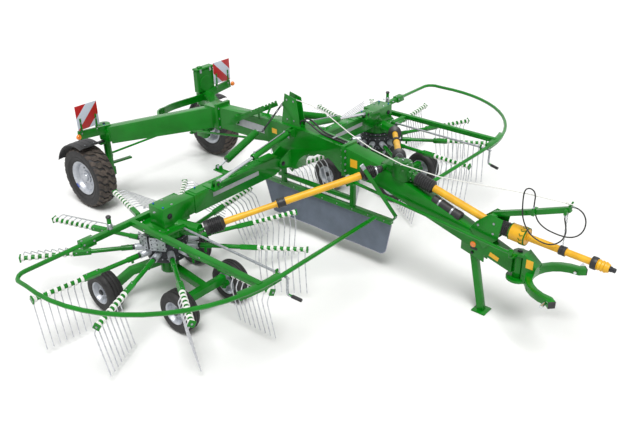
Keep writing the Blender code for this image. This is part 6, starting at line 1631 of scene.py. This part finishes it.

# %% [markdown]
# ## Pull rope
#
# A thin rope runs from the tower to the hose arm, within reach of the tractor. It sags a little, and two
# turns of thinner cord tie it to the hook. It is a bar along given points, like the hoses, and its braid
# is in the finish.

# %% Pull rope
# Columns: x, y and z, from the tower's web to the hook.
ROPE = ((0, 0.2547, 1.575), (0, 0.20, 1.575), (-0.03, 0.02, 1.578), (-0.055, -0.20, 1.545),
        (-0.08, -0.50, 1.43), (-0.09, -0.785, 1.342), (-0.09, -1.145, 1.277), (-0.09, -1.545, 1.274),
        (-0.06, -1.90, 1.30), (-0.035, -2.30, 1.335), (-0.0132, -2.69, 1.350), (-0.0132, -2.745, 1.352))


def make_rope():
    """Pull rope from the tower to the hose arm, with two turns of thinner cord at the hook."""
    line = Piece("pull_line", "frame", ["pull_rope"])
    line.put(LOOK["rope_braided_white"], tube(ROPE, 0.0048, 12))
    knot = []
    for i in range(25):
        a = math.radians(30 * i)
        knot.append(Vector((-0.0132, -2.690, 1.350))
                    + Vector((0.008 * math.cos(a), 0.012 * math.sin(a / 2), 0.008 * math.sin(a))))
    line.put(LOOK["rope_braided_white"], tube(knot, 0.0035, 8))
    line.make()


make_rope()

# %% [markdown]
# ## Rear bow
#
# A flat bar on edge bends round behind the V frame. It has no solid of its own, so it is built here: a
# skin over upright rectangles, one at each point of a smooth curve.

# %% Rear bow
# Columns: x, y and z along the bar's middle.
BOW = ((-0.42, 2.00, 1.06), (-0.30, 2.18, 1.05), (-0.16, 2.31, 1.02), (-0.03, 2.40, 0.98), (0.20, 2.47, 0.96),
       (0.70, 2.50, 0.93))
BOW_HEIGHT = 0.085
BOW_THICK = 0.020


def flat_bow(points):
    """A flat bar on edge along points."""
    rings = []
    for i, point in enumerate(points):
        ahead = points[min(i + 1, len(points) - 1)] - points[max(i - 1, 0)]
        side = Vector((ahead.y, -ahead.x, 0)).normalized() * BOW_THICK / 2
        up = Vector((0, 0, BOW_HEIGHT / 2))
        rings.append([point - side - up, point + side - up, point + side + up, point - side + up])
    return skin(rings)


Piece("rear_bow", "frame").put(GREEN, flat_bow(smooth(BOW, 6))).make()

# %% [markdown]
# ## Tool box
#
# A pressed steel box with a lid stands beside the far board. Boxes with large rounded edges give its
# pressed look, and its catches are small zinc plates.

# %% Tool box
def make_tool_box():
    """Box with its lid, round front pressing, handle and two catches."""
    box = Piece("tool_box", "frame")
    box.put(GREEN, slab((0.280, 0.090, 0.290), (0.775, 2.568, 1.125), edge=0.012),
            slab((0.290, 0.098, 0.028), (0.775, 2.568, 1.284), edge=0.008),
            rod((0.765, 2.524, 1.090), (0.765, 2.513, 1.090), 0.105, edge=0.004),
            slab((0.060, 0.050, 0.020), (0.715, 2.568, 1.305), edge=0.005))
    for x in (0.690, 0.850):
        box.put(ZINC, slab((0.030, 0.008, 0.050), (x, 2.520, 1.262), edge=0.002))
    box.make()


make_tool_box()

# %% [markdown]
# ## Document tube
#
# A moulded tube with a screw cap lies along the drawbar under two clamps. All of it lies on one line, so
# its parts are placed as lengths and shares of that line.

# %% Document tube
def make_document_tube():
    """Tube, cap and two clamps."""
    case = Piece("document_tube", "frame")
    first = Vector((-0.02, -1.447, 1.000))
    last = Vector((-0.02, -1.745, 0.905))
    along = (last - first).normalized()
    case.put(LOOK["mudguard_plastic"], rod(first, last, 0.045, edge=0.008))
    case.put(LOOK["mudguard_plastic"], rod(last - along * 0.055, last + along * 0.006, 0.048, edge=0.006))
    for share in (0.25, 0.70):
        at = first.lerp(last, share)
        case.put(ZINC, rod(at - along * 0.008, at + along * 0.008, 0.0465, edge=0.001))
    case.make()


make_document_tube()

# %% [markdown]
# ## Curtain lever
#
# A flat lever at the side of the backbone leads down to the rail. It is two beams, with a zinc sleeve as
# its grip.

# %% Curtain lever
def make_curtain_lever():
    """Lever, its foot to the rail, its sleeve and its bolt."""
    lever = Piece("curtain_lever", "frame")
    foot = Vector((-0.055, -1.065, 0.690))
    top = Vector((-0.380, -0.891, 1.300))
    lever.put(GREEN, beam(foot, top, 0.008, 0.036), beam(foot, (-0.020, -0.970, 0.580), 0.020, 0.020))
    lever.put(ZINC, beam(foot.lerp(top, 0.93), top + (top - foot) * 0.02, 0.011, 0.040),
              bolt(foot + out(0.006, 0, 0), (-1, 0, 0), 0.010))
    lever.make()


make_curtain_lever()

# %% [markdown]
# ## Floor, backdrop and light
#
# The surroundings are plain and nearly white, with one soft shadow. A modelled studio would show in the
# paint. A wide sun gives the shadow its soft edge, and the sky is white where the camera or a mirror looks
# at it, but weaker as a light, so that the colours stay deep.

# %% Floor, backdrop and light
FLOOR_SIZE = 60.0
SKY_STRENGTH = 0.44
LIGHT_STRENGTH = 3.1
# Degrees: how wide the sun is in the sky, and how it is turned.
LIGHT_ANGLE = 30.0
LIGHT_TURN = (14.0, -16.0, 0.0)


def make_floor():
    """Pale floor with a faint grain, a millimetre below the wheels."""
    material = surface("floor_paper_white", "#ECECEB", "#E8E8E7", 900 * MILLIMETRE, 20 * MILLIMETRE,
                       0.05 * MILLIMETRE, 0.9)
    size = FLOOR_SIZE / 2
    corners = [(-size, -size, 0), (size, -size, 0), (size, size, 0), (-size, size, 0)]
    mesh = bpy.data.meshes.new("floor")
    mesh.from_pydata(corners, [], [(0, 1, 2, 3)])
    mesh.materials.append(material)
    floor = bpy.data.objects.new("floor", mesh)
    bpy.context.scene.collection.objects.link(floor)
    floor.location = (0, 0, -MILLIMETRE)


def make_light():
    """Even sky that shows as plain white, and a wide sun for the soft shadow."""
    world = bpy.data.worlds.new("sky")
    world.use_nodes = True
    tree = world.node_tree
    tree.nodes.clear()
    path = add(tree, "ShaderNodeLightPath").outputs
    either = add(tree, "ShaderNodeMath", {0: path["Is Camera Ray"], 1: path["Is Glossy Ray"]},
                 operation="MAXIMUM").outputs[0]
    sees = add(tree, "ShaderNodeMath", {0: either, 1: path["Is Transmission Ray"]},
               operation="MAXIMUM").outputs[0]
    even = add(tree, "ShaderNodeBackground", {"Color": (1, 1, 1, 1), "Strength": SKY_STRENGTH})
    white = add(tree, "ShaderNodeBackground", {"Color": (1, 1, 1, 1), "Strength": 1.0})
    mix = add(tree, "ShaderNodeMixShader", {0: sees, 1: even.outputs[0], 2: white.outputs[0]})
    add(tree, "ShaderNodeOutputWorld", {"Surface": mix.outputs[0]})
    bpy.context.scene.world = world
    data = bpy.data.lights.new("sun", "SUN")
    data.energy = LIGHT_STRENGTH
    data.angle = math.radians(LIGHT_ANGLE)
    sun = bpy.data.objects.new("sun", data)
    sun.rotation_euler = [math.radians(a) for a in LIGHT_TURN]
    bpy.context.scene.collection.objects.link(sun)


make_floor()
make_light()
bpy.context.scene.view_settings.view_transform = "Standard"
print("sun:", LIGHT_STRENGTH, "sky:", SKY_STRENGTH)
